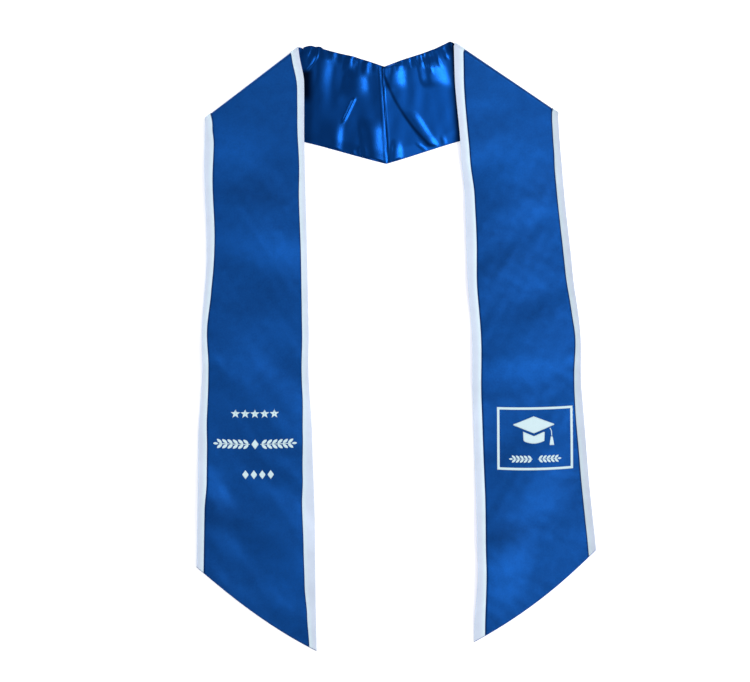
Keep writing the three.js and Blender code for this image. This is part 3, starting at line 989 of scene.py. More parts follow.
@dataclass
class Cloth:
    """A piece of cloth as a closed shell between two heights of its band.

    Attributes:
        name: The piece's name.
        band: The band that it is part of.
        sampling: How finely it is sampled.
        low: The height of its side towards the lining.
        high: The height of its other side.
        nodes: The CAD nodes that it stands for.
        slot: The name of a material slot; not used.
        is_lining: Whether the folds of the neck lining apply.
        beyond_hem: How far it reaches past the hem.
        shade_reach: How far from a seam the shade reaches.
        nap: How bright it is painted, as painted light and shade.
    """

    name: str
    band: Band
    sampling: Sampling
    low: float
    high: float
    nodes: tuple[str, ...]
    slot: str
    is_lining: bool = False
    beyond_hem: float = 0
    shade_reach: float = 2 * MM
    nap: float = 1

    def spans(self, inner: Array, outer: Array) -> tuple[Array, Array]:
        """Give the shares across where the piece starts and ends, row by row."""
        return np.zeros(inner.shape), np.ones(inner.shape)

    def columns(self) -> int:
        """Give how many even columns the piece has."""
        return self.sampling.lining_columns

    def detail(self, s: Array, across: Array, from_sides: tuple[Array, Array]) -> Array:
        """Give what the piece adds to its upper side's height."""
        return self.band.drape.pucker(s, np.minimum(*from_sides))

    def shade(self, s: Array, across: Array, from_sides: tuple[Array, Array]) -> Array:
        """Give the share of shade: 1 at a seam, falling to 0 at the end of its reach."""
        return 1 - smooth(np.minimum(*from_sides), 0, self.shade_reach)

    def sheen(self, s: Array, across: Array) -> Array:
        """Give the painted highlights and shade from place to place, as a share about 1."""
        return np.ones(s.shape)

    def seam_share(self, inner: Array, outer: Array, edge: Edge, clear: float) -> Array:
        """Give the share across at which the seam beside a trim lies, kept clear by a distance."""
        s = (outer if edge is Edge.OUTER else inner) + 0 * inner
        return (self.band.trim_width(s, edge) + clear) / self.band.width((inner + outer) / 2)

    def grid(self) -> tuple[Array, Array, Array, tuple[Array, Array]]:
        """Lay the piece's grid over the pattern, with finer columns and rows along its edges.

        Returns:
            s, the share across, the distance from the nearest edge, and the distances from the two
            long sides.
        """
        inner, outer = self.band.rows(self.sampling, self.beyond_hem)
        start, end = self.spans(inner, outer)
        width = self.band.width((inner + outer) / 2)
        wide = ((end - start) * width)[:, None]
        fine = self.sampling.edge_steps
        even = np.linspace(0, 1, self.columns())[1:-1]
        clear = self.sampling.clear_of_roll / wide.min()
        even = even[(even > clear) & (1 - even > clear)]
        even = np.broadcast_to(even, (len(inner), len(even)))
        share = np.concatenate([fine / wide, even, 1 - fine[::-1] / wide], axis=1)
        across = lerp(start[:, None], end[:, None], share)
        s = lerp(inner[:, None], outer[:, None], across)
        sides = (share * wide, (1 - share) * wide)
        from_seam = (s - s[:1]) * self.sampling.edge_roll / self.sampling.seam_roll
        ends = np.minimum(from_seam, s[-1:] - s)
        from_edge = np.minimum(np.minimum(*sides), ends)
        return s, across, from_edge, sides

    def build(self, finish: Finish) -> bpy.types.Object:
        """The shell's two sides are the grid at its two heights. Towards an edge they close in on the
        height between them along a quarter circle, and they share the edge itself.

        Args:
            finish: The finish of the piece.

        Returns:
            The new object.
        """
        s, across, from_edge, sides = self.grid()
        roll = 1 - np.clip(from_edge / self.sampling.edge_roll, 0, 1)
        full = np.sqrt(1 - roll**2)
        middle, half = (self.low + self.high) / 2, (self.high - self.low) / 2
        detail = self.detail(s, across, sides)
        upper = self.band.lay(s, across, middle + (half + detail) * full, self.is_lining)
        lower = self.band.lay(s, across, middle - half * full, self.is_lining)
        piece = shell(self.name, upper, lower)
        lateral = (across - 0.5) * self.band.width(s)
        write_uv(piece, lateral, s)
        write_value(piece, "seam", np.minimum(*sides))
        write_value(piece, "shade", self.shade(s, across, sides))
        # Painted light and shade of the piece, times the painted highlights and shade of its places.
        write_value(piece, "nap", self.nap * self.sheen(s, across))
        dress(piece, finish)
        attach(piece, "root")
        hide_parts(*self.nodes)
        self.declare()
        return piece

    def declare(self) -> None:
        """State the sheet's flat size: its widest place, its length, and its pattern's area.
        """
        inner, outer = self.band.rows(self.sampling, self.beyond_hem)
        start, end = self.spans(inner, outer)
        length = float(max(inner[-1], outer[-1]) - min(inner[0], outer[0]))
        widths = (end - start) * self.band.width((inner + outer) / 2)
        steps = np.diff((inner + outer) / 2)
        area = float(np.sum(steps * (widths[1:] + widths[:-1]) / 2))
        width = float(widths.max())
        size = (width / MM, length / MM, area * 1e4)
        LOG.info("%s: flat %.0f by %.0f mm, %.0f cm2", self.name, *size)


class Face(Cloth):
    """The matte satin face between the trims."""

    def spans(self, inner: Array, outer: Array) -> tuple[Array, Array]:
        """Start and end at the seams beside the trims.

        Args:
            inner: s on the inner edge, row by row.
            outer: s on the outer edge, row by row.

        Returns:
            The shares across where the piece starts and ends, row by row.
        """
        clear = self.band.sizes.seam_clear
        start = self.seam_share(inner, outer, Edge.INNER, clear)
        return start, 1 - self.seam_share(inner, outer, Edge.OUTER, clear)

    def columns(self) -> int:
        """Give how many even columns the piece has."""
        return self.sampling.face_columns

    def shade(self, s: Array, across: Array, from_sides: tuple[Array, Array]) -> Array:
        """Give the share of shade, along the seams and along the shoulder fold's edge."""
        return np.maximum(super().shade(s, across, from_sides), self.band.fold_share(s, across))

    def sheen(self, s: Array, across: Array) -> Array:
        """Give the face's painted highlights and shade, brighter or darker in its table's ovals."""
        return 1 + self.band.oval_rise(self.band.lie.sheens, s, across)


@dataclass
class Trim(Cloth):
    """A white satin strip along one edge of the band.

    Attributes:
        edge: The edge that it runs along.
        crown: How much thicker it is at its crown.
        crown_at: How far from the seam the crown is, as a share of the trim's width.
        crown_reach: How far to both sides of that the crown reaches, as a share of that width.
        turn_in: Up to where from the seam, in shares of shade_reach, the painted seam shadow is full.
        change: How far from the seam, in the same way, the painted highlight beside it has faded.
    """

    edge: Edge = Edge.INNER
    crown: float = 0.5 * MM
    crown_at: float = 0.33
    crown_reach: float = 0.8
    turn_in: float = 0.2
    change: float = 4

    def spans(self, inner: Array, outer: Array) -> tuple[Array, Array]:
        """Run from the band's edge to the seam beside the face.

        Args:
            inner: s on the inner edge, row by row.
            outer: s on the outer edge, row by row.

        Returns:
            The shares across where the piece starts and ends, row by row.
        """
        seam = self.seam_share(inner, outer, self.edge, -self.band.sizes.seam_clear)
        if self.edge is Edge.INNER:
            return np.zeros(seam.shape), seam
        return 1 - seam, np.ones(seam.shape)

    def columns(self) -> int:
        """Give how many even columns the piece has."""
        return self.sampling.trim_columns

    def detail(self, s: Array, across: Array, from_sides: tuple[Array, Array]) -> Array:
        """Add a crown that is highest a third of the way from the seam, and the seam's puckers.

        Args:
            s: Lengths along the band.
            across: Shares across the band; not used.
            from_sides: Distances from the two long sides.

        Returns:
            Heights in metres.
        """
        seam = self.from_seam(from_sides)
        crown = bump((seam / self.band.sizes.trim_width - self.crown_at) / self.crown_reach)
        return self.crown * crown + self.band.drape.pucker(s, seam)

    def shade(self, s: Array, across: Array, from_sides: tuple[Array, Array]) -> Array:
        """Give the seam side's share: painted highlight beside the seam, painted shadow in it."""
        start, end = self.turn_in * self.shade_reach, self.change * self.shade_reach
        return 1 - smooth(self.from_seam(from_sides), start, end)

    def from_seam(self, from_sides: tuple[Array, Array]) -> Array:
        """Give the distance from the side that is sewn to the face."""
        return from_sides[1] if self.edge is Edge.INNER else from_sides[0]


@dataclass
class Lining(Cloth):
    """The bright satin lining behind the face and the trims.

    Attributes:
        shade_end: Over what length the panel's shade grows deep, and half the length over which it
            turns lighter again.
        light_share: By what share it turns lighter.
        sewn_shade: The shade along the neck edge.
    """

    shade_end: float = 8 * MM
    light_share: float = 0.6
    sewn_shade: float = 0.5

    def detail(self, s: Array, across: Array, from_sides: tuple[Array, Array]) -> Array:
        """Add nothing: the lining's folds lift both of its sides."""
        return np.zeros(s.shape)

    def shade(self, s: Array, across: Array, from_sides: tuple[Array, Array]) -> Array:
        """Work out the shade: beside the panel over the neck, in creases and at the neck edge.

        Args:
            s: Lengths along the band.
            across: Shares across the band.
            from_sides: Distances from the two long sides.

        Returns:
            Shares of shade.
        """
        band = self.band
        plan = band.pattern(s, across)
        beside = 1 - smooth(band.from_panel(plan), 0, band.lie.overhang)
        x, y = turned(plan[..., 0] * band.lie.side.value, plan[..., 1], band.sizes.neck_turn)
        first, last = band.lie.covered
        lighter = smooth(-y, last - self.shade_end, last + self.shade_end)
        beside *= smooth(-y, first - self.shade_end, first) * (1 - self.light_share * lighter)
        creases = sum(fold.dark * fold.form(x / MM, -y / MM) for fold in NECK_FOLDS if fold.dark)
        neck = s < band.shoulder + band.sizes.neck_width / 2
        sewn = self.sewn_shade * (1 - smooth(from_sides[0], 0, self.shade_reach))
        return np.maximum(np.where(neck, np.maximum(beside, creases), 0), sewn)


def shell(name: str, upper: Array, lower: Array) -> bpy.types.Object:
    """Make a closed mesh of two grids that share their border.

    Args:
        name: The object's name.
        upper: Points (rows, columns, 3) of one side.
        lower: Points of the other side. Its border is left out, as the upper one stands for it.

    Returns:
        The object, with its faces pointing outwards and shaded smooth.
    """
    return joined_shells(name, [(upper, lower)])


def joined_shells(name: str, pairs: Sequence[tuple[Array, Array]]) -> bpy.types.Object:
    """Make one mesh of several closed shells, each of two grids that share their border.

    Args:
        name: The object's name.
        pairs: The upper and lower grids of each shell.

    Returns:
        The object, with its faces pointing outwards and shaded smooth.
    """
    points, quads, used = [], [], 0
    for upper, lower in pairs:
        rows, columns = upper.shape[:2]
        top = np.arange(rows * columns).reshape(rows, columns)
        under = top.copy()
        inside = (rows - 2) * (columns - 2)
        under[1:-1, 1:-1] = rows * columns + np.arange(inside).reshape(rows - 2, columns - 2)
        shell_points = np.concatenate([upper.reshape(-1, 3), lower[1:-1, 1:-1].reshape(-1, 3)])
        corners = [
            np.stack([g[:-1, :-1], g[1:, :-1], g[1:, 1:], g[:-1, 1:]], axis=-1).reshape(-1, 4)
            for g in (top, under)
        ]
        faces = np.concatenate([corners[0], corners[1][:, ::-1]])
        if signed_volume(shell_points, faces) < 0:
            faces = faces[:, ::-1]
        points.append(shell_points)
        quads.append(faces + used)
        used += len(shell_points)
    return mesh_object(name, np.concatenate(points), np.concatenate(quads))


def signed_volume(points: Array, quads: Array) -> float:
    """Add up a . (b x c) / 6 over the triangles of some quads.

    Args:
        points: Points (n, 3).
        quads: Corner numbers (m, 4).

    Returns:
        The volume inside, positive if the quads face outwards.
    """
    a, b, c, d = (points[quads[:, k]] for k in range(4))
    halves = np.einsum("ij,ij->i", a, np.cross(b, c)) + np.einsum("ij,ij->i", a, np.cross(c, d))
    return float(halves.sum() / 6)


def mesh_object(name: str, points: Array, quads: Array) -> bpy.types.Object:
    """Put points and quads into a new mesh object, shaded smooth.

    Args:
        name: The object's name.
        points: Points (n, 3).
        quads: Corner numbers (m, 4).

    Returns:
        The object, linked to the scene.
    """
    mesh = bpy.data.meshes.new(name)
    mesh.vertices.add(len(points))
    mesh.vertices.foreach_set("co", points.astype(np.float32).ravel())
    mesh.loops.add(quads.size)
    mesh.loops.foreach_set("vertex_index", quads.astype(np.int32).ravel())
    mesh.polygons.add(len(quads))
    mesh.polygons.foreach_set("loop_start", np.arange(0, quads.size, 4, dtype=np.int32))
    mesh.polygons.foreach_set("use_smooth", np.ones(len(quads), bool))
    mesh.update(calc_edges=True)
    mesh.validate()
    piece = bpy.data.objects.new(name, mesh)
    bpy.context.scene.collection.objects.link(piece)
    return piece


def per_vertex(values: Array) -> Array:
    """Give a grid's values in the order of a shell's points: the whole grid, then its inside."""
    return np.concatenate([values.ravel(), values[1:-1, 1:-1].ravel()])


def write_uv(piece: bpy.types.Object, u: Array, v: Array) -> None:
    """Write a shell's UV map.

    Args:
        piece: The shell's object.
        u: Distances across the cloth on the shell's grid, in metres.
        v: Lengths along it.
    """
    mesh = piece.data
    corners = np.empty(len(mesh.loops), np.int32)
    mesh.loops.foreach_get("vertex_index", corners)
    pairs = np.stack([per_vertex(u), per_vertex(v)], axis=-1).astype(np.float32)
    layer = mesh.uv_layers.new(name="cloth")
    layer.data.foreach_set("uv", pairs[corners].ravel())


def write_value(piece: bpy.types.Object, name: str, values: Array) -> None:
    """Write a shell's value for each point as a named attribute."""
    attribute = piece.data.attributes.new(name, "FLOAT", "POINT")
    attribute.data.foreach_set("value", per_vertex(values).astype(np.float32))


def opaque(color: Sequence[float]) -> tuple[float, ...]:
    """Give a colour as the sockets take it, with full alpha."""
    return (*color, 1)


class Nodes:
    """A short way to add and join shader nodes in one tree."""

    def __init__(self, tree: bpy.types.NodeTree) -> None:
        """Work in a node tree."""
        self.tree = tree

    def add(self, kind: str, **values: object) -> bpy.types.Node:
        """Add a node.

        Args:
            kind: The node's type, without its ShaderNode.
            values: Properties by name. An input is given by its name with _ for a space, or by its
                number after in_, as a value or as the socket to join.

        Returns:
            The node.
        """
        node = self.tree.nodes.new(f"ShaderNode{kind}")
        for key, value in values.items():
            if key.startswith("in_"):
                self.feed(node.inputs[int(key[3:])], value)
            elif hasattr(node, key):
                setattr(node, key, value)
            else:
                self.feed(node.inputs[key.replace("_", " ")], value)
        return node

    def feed(self, socket: bpy.types.NodeSocket, value: object) -> None:
        """Join a socket to another, or set its value.

        Args:
            socket: The input.
            value: The output to join to it, or its value.
        """
        if isinstance(value, bpy.types.NodeSocket):
            self.tree.links.new(value, socket)
        else:
            socket.default_value = value

    def math(self, operation: str, *terms: object) -> bpy.types.NodeSocket:
        """Add a Math node over one to three values or sockets, and give its result."""
        fed = {f"in_{i}": term for i, term in enumerate(terms)}
        return self.add("Math", operation=operation, **fed).outputs[0]

    def mix(self, share: object, a: object, b: object, how: str = "MIX") -> bpy.types.NodeSocket:
        """Add a node that mixes two colours by a share, and give its result."""
        mixed = self.add("Mix", data_type="RGBA", blend_type=how, in_0=share, in_6=a, in_7=b)
        return mixed.outputs[2]


def new_group(name: str, inputs: dict[str, tuple[str, object]], outputs: dict[str, str]) -> Nodes:
    """Make a shader node group with named sockets.

    Args:
        name: The group's name.
        inputs: Each input's socket type, without its NodeSocket, and its first value.
        outputs: Each output's socket type.

    Returns:
        The group's tree, with its input and output nodes.
    """
    tree = bpy.data.node_groups.new(name, "ShaderNodeTree")
    for key, (kind, value) in inputs.items():
        socket = tree.interface.new_socket(key, in_out="INPUT", socket_type=f"NodeSocket{kind}")
        if value is not None:
            socket.default_value = value
    for key, kind in outputs.items():
        tree.interface.new_socket(key, in_out="OUTPUT", socket_type=f"NodeSocket{kind}")
    tree.nodes.new("NodeGroupInput")
    tree.nodes.new("NodeGroupOutput")
    return Nodes(tree)


def weave_group() -> bpy.types.NodeTree:
    """Make the satin weave: long warp floats, each tied down where a weft thread crosses it.

    A warp thread is a round ridge, |sin| across it. Thread k is tied at the weft threads n for
    which n + 2k is a whole number of fives, and dips there.

    Returns:
        The group, which gives the weave's Height and a Tie mask.
    """
    n = new_group(
        "SatinWeave",
        {"Cloth": ("Vector", None), "Pitch": ("Float", 0.3 * MM)},
        {"Height": "Float", "Tie": "Float"},
    )
    given, result = n.tree.nodes["Group Input"].outputs, n.tree.nodes["Group Output"].inputs
    place = n.add("SeparateXYZ", Vector=given["Cloth"]).outputs
    repeat, step, tie_depth = 5.0, 2.0, 0.8
    warp = n.math("DIVIDE", place[0], given["Pitch"])
    weft = n.math("DIVIDE", place[1], given["Pitch"])
    ridge = n.math("ABSOLUTE", n.math("SINE", n.math("MULTIPLY", warp, math.pi)))
    steps = n.math("MULTIPLY_ADD", n.math("FLOOR", warp), step, weft)
    within = n.math("FLOORED_MODULO", steps, repeat)
    around = n.math("ABSOLUTE", n.math("SUBTRACT", within, repeat / 2))
    tie = n.math("MAXIMUM", n.math("MULTIPLY_ADD", around, 2.0, 1 - repeat), 0.0)
    height = n.math("MULTIPLY_ADD", tie, -tie_depth, ridge)
    n.feed(result["Height"], height)
    n.feed(result["Tie"], tie)
    return n.tree


def tone_group() -> bpy.types.NodeTree:
    """Make the cloth's uneven tone and painted sheen, as noise about 0 at four scales, added up.

    The clouds, drawn out along the creases which run slantwise across the band, are painted sheen
    as well as uneven tone. The slubs are drawn out along the warp.

    Returns:
        The group, which gives a Tone about 1, and Uneven, about 0, for the roughness.
    """
    shares = ("Clouds", "Patches", "Grain", "Slubs")
    n = new_group(
        "ClothTone",
        {"Cloth": ("Vector", None)} | {share: ("Float", 0.1) for share in shares},
        {"Tone": "Float", "Uneven": "Float"},
    )
    given, result = n.tree.nodes["Group Input"].outputs, n.tree.nodes["Group Output"].inputs
    cloth, slant, creases, threads = given["Cloth"], 0.45, (9.0, 24.0, 1.0), (900.0, 60.0, 1.0)
    slanted = n.add("Mapping", Vector=cloth, Rotation=(0, 0, slant), Scale=creases).outputs[0]
    drawn = n.add("Mapping", Vector=cloth, Scale=threads).outputs[0]
    places = ((slanted, 1.0), (cloth, 80.0), (cloth, 420.0), (drawn, 1.0))
    uneven = 0.0
    for share, (place, scale) in zip(shares, places):
        noise = n.add("TexNoise", Vector=place, Scale=scale, Detail=2.0)
        about_zero = n.math("SUBTRACT", noise.outputs[0], 0.5)
        uneven = n.math("MULTIPLY_ADD", about_zero, given[share], uneven)
    n.feed(result["Tone"], n.math("ADD", uneven, 1.0))
    n.feed(result["Uneven"], uneven)
    return n.tree


def stitch_group() -> bpy.types.NodeTree:
    """Make a line of stitches: dashes at a set distance from the seam.

    Returns:
        The group, which gives the Stitch mask.
    """
    n = new_group(
        "StitchLine",
        {"Cloth": ("Vector", None), "Distance": ("Float", 0.01), "Line": ("Float", 1.6 * MM)},
        {"Stitch": "Float"},
    )
    given, result = n.tree.nodes["Group Input"].outputs, n.tree.nodes["Group Output"].inputs
    half_width, pitch, dash = 0.3 * MM, 2.6 * MM, 0.72
    off = n.math("ABSOLUTE", n.math("SUBTRACT", given["Distance"], given["Line"]))
    line = n.math("LESS_THAN", off, half_width)
    along = n.add("SeparateXYZ", Vector=given["Cloth"]).outputs[1]
    part = n.math("FRACT", n.math("DIVIDE", along, pitch))
    n.feed(result["Stitch"], n.math("MULTIPLY", line, n.math("LESS_THAN", part, dash)))
    return n.tree


class Finish:
    """What every finish has: a material, made once."""

    def material(self) -> bpy.types.Material:
        """Give the finish's material, made when it is first asked for."""
        name = type(self).__name__
        return bpy.data.materials.get(name) or self.make(name)

    def make(self, name: str) -> bpy.types.Material:
        """Make the material.

        Args:
            name: Its name.

        Returns:
            The material, with its nodes joined up.
        """
        material = bpy.data.materials.new(name)
        material.use_nodes = True
        n = Nodes(material.node_tree)
        self.join(n, n.tree.nodes["Principled BSDF"])
        return material

    def join(self, n: Nodes, shader: bpy.types.Node) -> None:
        """Add the material's nodes and join them to its shader."""
        raise NotImplementedError


@dataclass(frozen=True)
class Satin(Finish):
    """Woven satin. Each kind has its own values.

    Attributes:
        color: The cloth's colour, linear.
        shade: How dark the painted shade makes the cloth where its share is 1, 0 for black.
        color_at_seam: Its painted highlight colour towards a seam, where that differs.
        color_in_seam: Its painted shadow colour right in a seam, where that differs.
        roughness: Its roughness.
        metallic: How much of its colour is in its gloss.
        specular: Its specular level.
        clouds: How strong its clouds are over a few centimetres: painted sheen and uneven tone.
        patches: The same over a centimetre.
        grain: The same over a few millimetres.
        slubs: How uneven its threads are.
        pitch: From one thread to the next.
        weave_depth: How deep the weave is.
        stitch_depth: How deep the stitches lie.
        uneven_gloss: How much smoother a brighter place is.
        turned_in: The share of shade from which on the painted seam shadow colour comes in.
    """

    color: tuple[float, float, float]
    roughness: float
    metallic: float
    shade: float = 0.6
    color_at_seam: tuple[float, float, float] | None = None
    color_in_seam: tuple[float, float, float] | None = None
    specular: float = 0.1
    clouds: float = 0.1
    patches: float = 0.05
    slubs: float = 0.05
    grain: float = 0.1
    pitch: float = 0.32 * MM
    weave_depth: float = 0.02 * MM
    stitch_depth: float = 0.0
    uneven_gloss: float = 0.2
    turned_in: float = 0.985

    def join(self, n: Nodes, shader: bpy.types.Node) -> None:
        """Put tone, painted light and painted shade on the colour, and weave and stitches on the
        bump.

        Args:
            n: The material's nodes.
            shader: Its shader node.
        """
        cloth = n.add("UVMap", uv_map="cloth").outputs[0]
        distance, share, nap = (
            n.add("Attribute", attribute_name=name).outputs["Fac"]
            for name in ("seam", "shade", "nap")
        )
        weave = placed_group(n, "SatinWeave", Cloth=cloth, Pitch=self.pitch)
        # The tone's clouds are painted sheen as well as uneven tone.
        tone = placed_group(n, "ClothTone", Cloth=cloth, Clouds=self.clouds, Patches=self.patches)
        n.feed(tone.inputs["Slubs"], self.slubs)
        n.feed(tone.inputs["Grain"], self.grain)
        seam = placed_group(n, "StitchLine", Cloth=cloth, Distance=distance)
        # Painted shade by the shade share, times painted light and shade, times the tone.
        darker = n.math("MULTIPLY_ADD", share, self.shade - 1.0, 1.0)
        value = n.math("MULTIPLY", n.math("MULTIPLY", darker, nap), tone.outputs["Tone"])
        # Towards a seam a painted highlight colour, and right in the seam a painted shadow colour.
        plain, turning, seam_shadow = (
            opaque(color or self.color)
            for color in (self.color, self.color_at_seam, self.color_in_seam)
        )
        beside = n.mix(share, plain, turning)
        inside = n.add("MapRange", Value=share, From_Min=self.turned_in, From_Max=1.0).outputs[0]
        sewn = n.mix(inside, beside, seam_shadow)
        grey = n.add("CombineXYZ", X=value, Y=value, Z=value).outputs[0]
        n.feed(shader.inputs["Base Color"], n.mix(1.0, sewn, grey, "MULTIPLY"))
        rough = n.math("MULTIPLY_ADD", tone.outputs["Uneven"], -self.uneven_gloss, self.roughness)
        n.feed(shader.inputs["Roughness"], rough)
        height = n.math("MULTIPLY", weave.outputs["Height"], self.weave_depth)
        dented = n.math("MULTIPLY_ADD", seam.outputs["Stitch"], -self.stitch_depth, height)
        relief = n.add("Bump", Strength=1.0, Distance=1.0, Height=dented)
        n.feed(shader.inputs["Normal"], relief.outputs[0])
        n.feed(shader.inputs["Metallic"], self.metallic)
        n.feed(shader.inputs["Specular IOR Level"], self.specular)


def placed_group(n: Nodes, name: str, **values: object) -> bpy.types.Node:
    """Place a node group in a material, and feed its inputs.

    Args:
        n: The material's nodes.
        name: The group's name.
        values: Values or sockets, by the input's name.

    Returns:
        The group node.
    """
    node = n.tree.nodes.new("ShaderNodeGroup")
    node.node_tree = bpy.data.node_groups[name]
    for key, value in values.items():
        n.feed(node.inputs[key.replace("_", " ")], value)
    return node


@dataclass(frozen=True)
class MatteSatin(Satin):
    """The face's cloth."""

    color: tuple[float, float, float] = (0.0053, 0.0726, 0.316)
    roughness: float = 0.42
    metallic: float = 0.75
    shade: float = 0.55
    clouds: float = 0.6
    patches: float = 0.36
    grain: float = 0.3


@dataclass(frozen=True)
class BrightSatin(Satin):
    """The lining's cloth."""

    color: tuple[float, float, float] = (0.006, 0.11, 0.53)
    roughness: float = 0.3
    metallic: float = 0.88
    clouds: float = 0.08
    patches: float = 0.03
    weave_depth: float = 0.008 * MM
    shade: float = 0.1


@dataclass(frozen=True)
class TrimSatin(Satin):
    """The trims' cloth."""

    color: tuple[float, float, float] = (0.68, 0.77, 0.93)
    # A painted highlight beside the seam, and painted shadow right in it.
    color_at_seam: tuple[float, float, float] = (0.74, 0.9, 1.0)
    color_in_seam: tuple[float, float, float] = (0.008, 0.06, 0.25)
    roughness: float = 0.4
    metallic: float = 0.1
    clouds: float = 0.12
    patches: float = 0.08
    slubs: float = 0.04
    grain: float = 0.06
    shade: float = 1
    stitch_depth: float = 0.05 * MM


@dataclass(frozen=True)
class Print(Finish):
    """White print on the face, which shows a little of the weave below it.

    Attributes:
        color: Its colour, linear.
        roughness: Its least roughness.
        worn: Its colour where the weave shows through, as a share of the full colour.
        grain_scale: How fine the grain is.
        grain_gloss: How much rougher the grain makes it.
        grain_depth: How deep the grain is.
    """

    color: tuple[float, float, float] = (0.72, 0.93, 1.0)
    roughness: float = 0.5
    worn: float = 0.86
    grain_scale: float = 900
    grain_gloss: float = 0.15
    grain_depth: float = 0.05 * MM

    def join(self, n: Nodes, shader: bpy.types.Node) -> None:
        """Put fine grain on the colour, the roughness and the bump.

        Args:
            n: The material's nodes.
            shader: Its shader node.
        """
        place = n.add("TexCoord").outputs["Object"]
        grain = n.add("TexNoise", Vector=place, Scale=self.grain_scale, Detail=3.0).outputs[0]
        worn = opaque([self.worn * part for part in self.color])
        n.feed(shader.inputs["Base Color"], n.mix(grain, worn, opaque(self.color)))
        rough = n.math("MULTIPLY_ADD", grain, self.grain_gloss, self.roughness)
        n.feed(shader.inputs["Roughness"], rough)
        relief = n.add("Bump", Strength=0.4, Distance=self.grain_depth, Height=grain)
        n.feed(shader.inputs["Normal"], relief.outputs[0])


@dataclass(frozen=True)
class Ground(Finish):
    """The floor's white, which glows a little so that it is as white as the photo's ground.

    Attributes:
        grey: Its grey, linear.
        roughness: Its roughness.
        specular: Its specular level.
        glow: How bright it glows.
    """

    grey: float = 0.93
    roughness: float = 0.9
    specular: float = 0.1
    glow: float = 0.5

    def join(self, n: Nodes, shader: bpy.types.Node) -> None:
        """Set the shader's values.

        Args:
            n: The material's nodes.
            shader: Its shader node.
        """
        values = {
            "Base Color": opaque([self.grey] * 3),
            "Roughness": self.roughness,
            "Specular IOR Level": self.specular,
            "Emission Color": opaque([1] * 3),
            "Emission Strength": self.glow,
        }
        for key, value in values.items():
            n.feed(shader.inputs[key], value)


def dress(piece: bpy.types.Object, finish: Finish) -> None:
    """Give a piece its finish."""
    piece.data.materials.append(finish.material())


@dataclass
class Motifs:
    """White motifs on a panel, each a thin closed shell that follows the face.

    Attributes:
        name: The piece's name.
        band: The band that they lie on.
        down: Where their centre lies, as a share of the panel's drop.
        across: The same across the band.
        turn: How far they are turned on the band, in radians.
        lift: How far they stand off the face.
        edge_depth: How far below the face their edges lie.
        depth: How far below the face their undersides lie.
    """

    name: str
    band: Band
    down: float
    across: float
    turn: float
    lift: float = 0.16 * MM
    edge_depth: float = 0.05 * MM
    depth: float = 0.12 * MM

    def outlines(self) -> list[Array]:
        """Give each motif as a grid of flat points (rows, columns, 2), right and up, in metres."""
        raise NotImplementedError

    def build(self, finish: Finish) -> bpy.types.Object:
        """Args:
            finish: The finish of the print.

        Returns:
            The new object.
        """
        s0, across0 = self.band.panel_place(self.down, self.across)
        side = self.band.lie.side.value
        sizes = self.band.sizes
        top = sizes.seam_gap / 2 + sizes.face_thickness
        pairs = []
        for flat in self.outlines():
            x, y = turned(flat[..., 0], flat[..., 1], self.turn)
            s = s0 - y
            across = across0 + side * x / self.band.width(s)
            inside = np.zeros(s.shape)
            inside[1:-1, 1:-1] = 1
            upper = self.band.lay(s, across, top + lerp(-self.edge_depth, self.lift, inside))
            lower = self.band.lay(s, across, np.full(s.shape, top - self.depth))
            pairs.append((upper, lower))
        piece = joined_shells(self.name, pairs)
        dress(piece, finish)
        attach(piece, "root")
        return piece


def star(radius: float, centre: tuple[float, float], waist: float = 0.42) -> Array:
    """Make a five-pointed star as a grid of rings: each ray runs straight between tip and waist.

    Args:
        radius: From the centre to a tip.
        centre: The centre.
        waist: The waist's radius as a share of the tip's.

    Returns:
        A grid of flat points that closes up on itself along one ray.
    """
    corner = np.arange(11)
    reach = np.where(corner % 2 == 0, 1, waist) * radius
    angle = math.pi / 2 + corner * math.pi / 5
    corners = np.stack([reach * np.cos(angle), reach * np.sin(angle)], axis=-1)
    at = np.linspace(0, 10, 21)
    rim = np.stack([np.interp(at, corner, corners[:, k]) for k in (0, 1)], axis=-1)
    rings = np.linspace(0, 1, 5)[:, None, None]
    return np.array(centre) + rings * rim[None]


def quad(corners: Sequence[tuple[float, float]], rows: int = 8, columns: int = 8) -> Array:
    """Fill a four-sided shape with an even grid, by lerp of its sides.

    Args:
        corners: Its corners in turn.
        rows: How many rows.
        columns: How many columns.

    Returns:
        A grid of flat points.
    """
    a, b, c, d = (np.array(corner, float) for corner in corners)
    u = np.linspace(0, 1, columns)[None, :, None]
    v = np.linspace(0, 1, rows)[:, None, None]
    return lerp(lerp(a, b, u), lerp(d, c, u), v)


def leaf(root: tuple[float, float], angle: float, length: float, width: float) -> Array:
    """Make a leaf: its halves bow out from the rib by sin(pi t)^0.8 times half its width.

    Args:
        root: Where the leaf starts.
        angle: Where it points, in radians.
        length: How long it is.
        width: How wide it is.

    Returns:
        A grid of flat points.
    """
    t = np.linspace(0.02, 0.98, 10)[:, None]
    aside = np.linspace(-0.5, 0.5, 6)[None, :] * width * np.sin(math.pi * t) ** 0.8
    x, y = turned(np.broadcast_to(t * length, aside.shape), aside, angle)
    return np.stack([x + root[0], y + root[1]], axis=-1)


def ribbon(path: Array, width: float) -> Array:
    """Carry a width along a path of flat points.

    Args:
        path: Points (n, 2).
        width: How wide the ribbon is.

    Returns:
        A grid of flat points.
    """
    ahead = np.gradient(path, axis=0)
    normal = np.stack([-ahead[:, 1], ahead[:, 0]], axis=-1)
    normal /= np.linalg.norm(normal, axis=1)[:, None]
    aside = np.linspace(-0.5, 0.5, 4)[None, :, None] * width
    return path[:, None] + aside * normal[:, None]


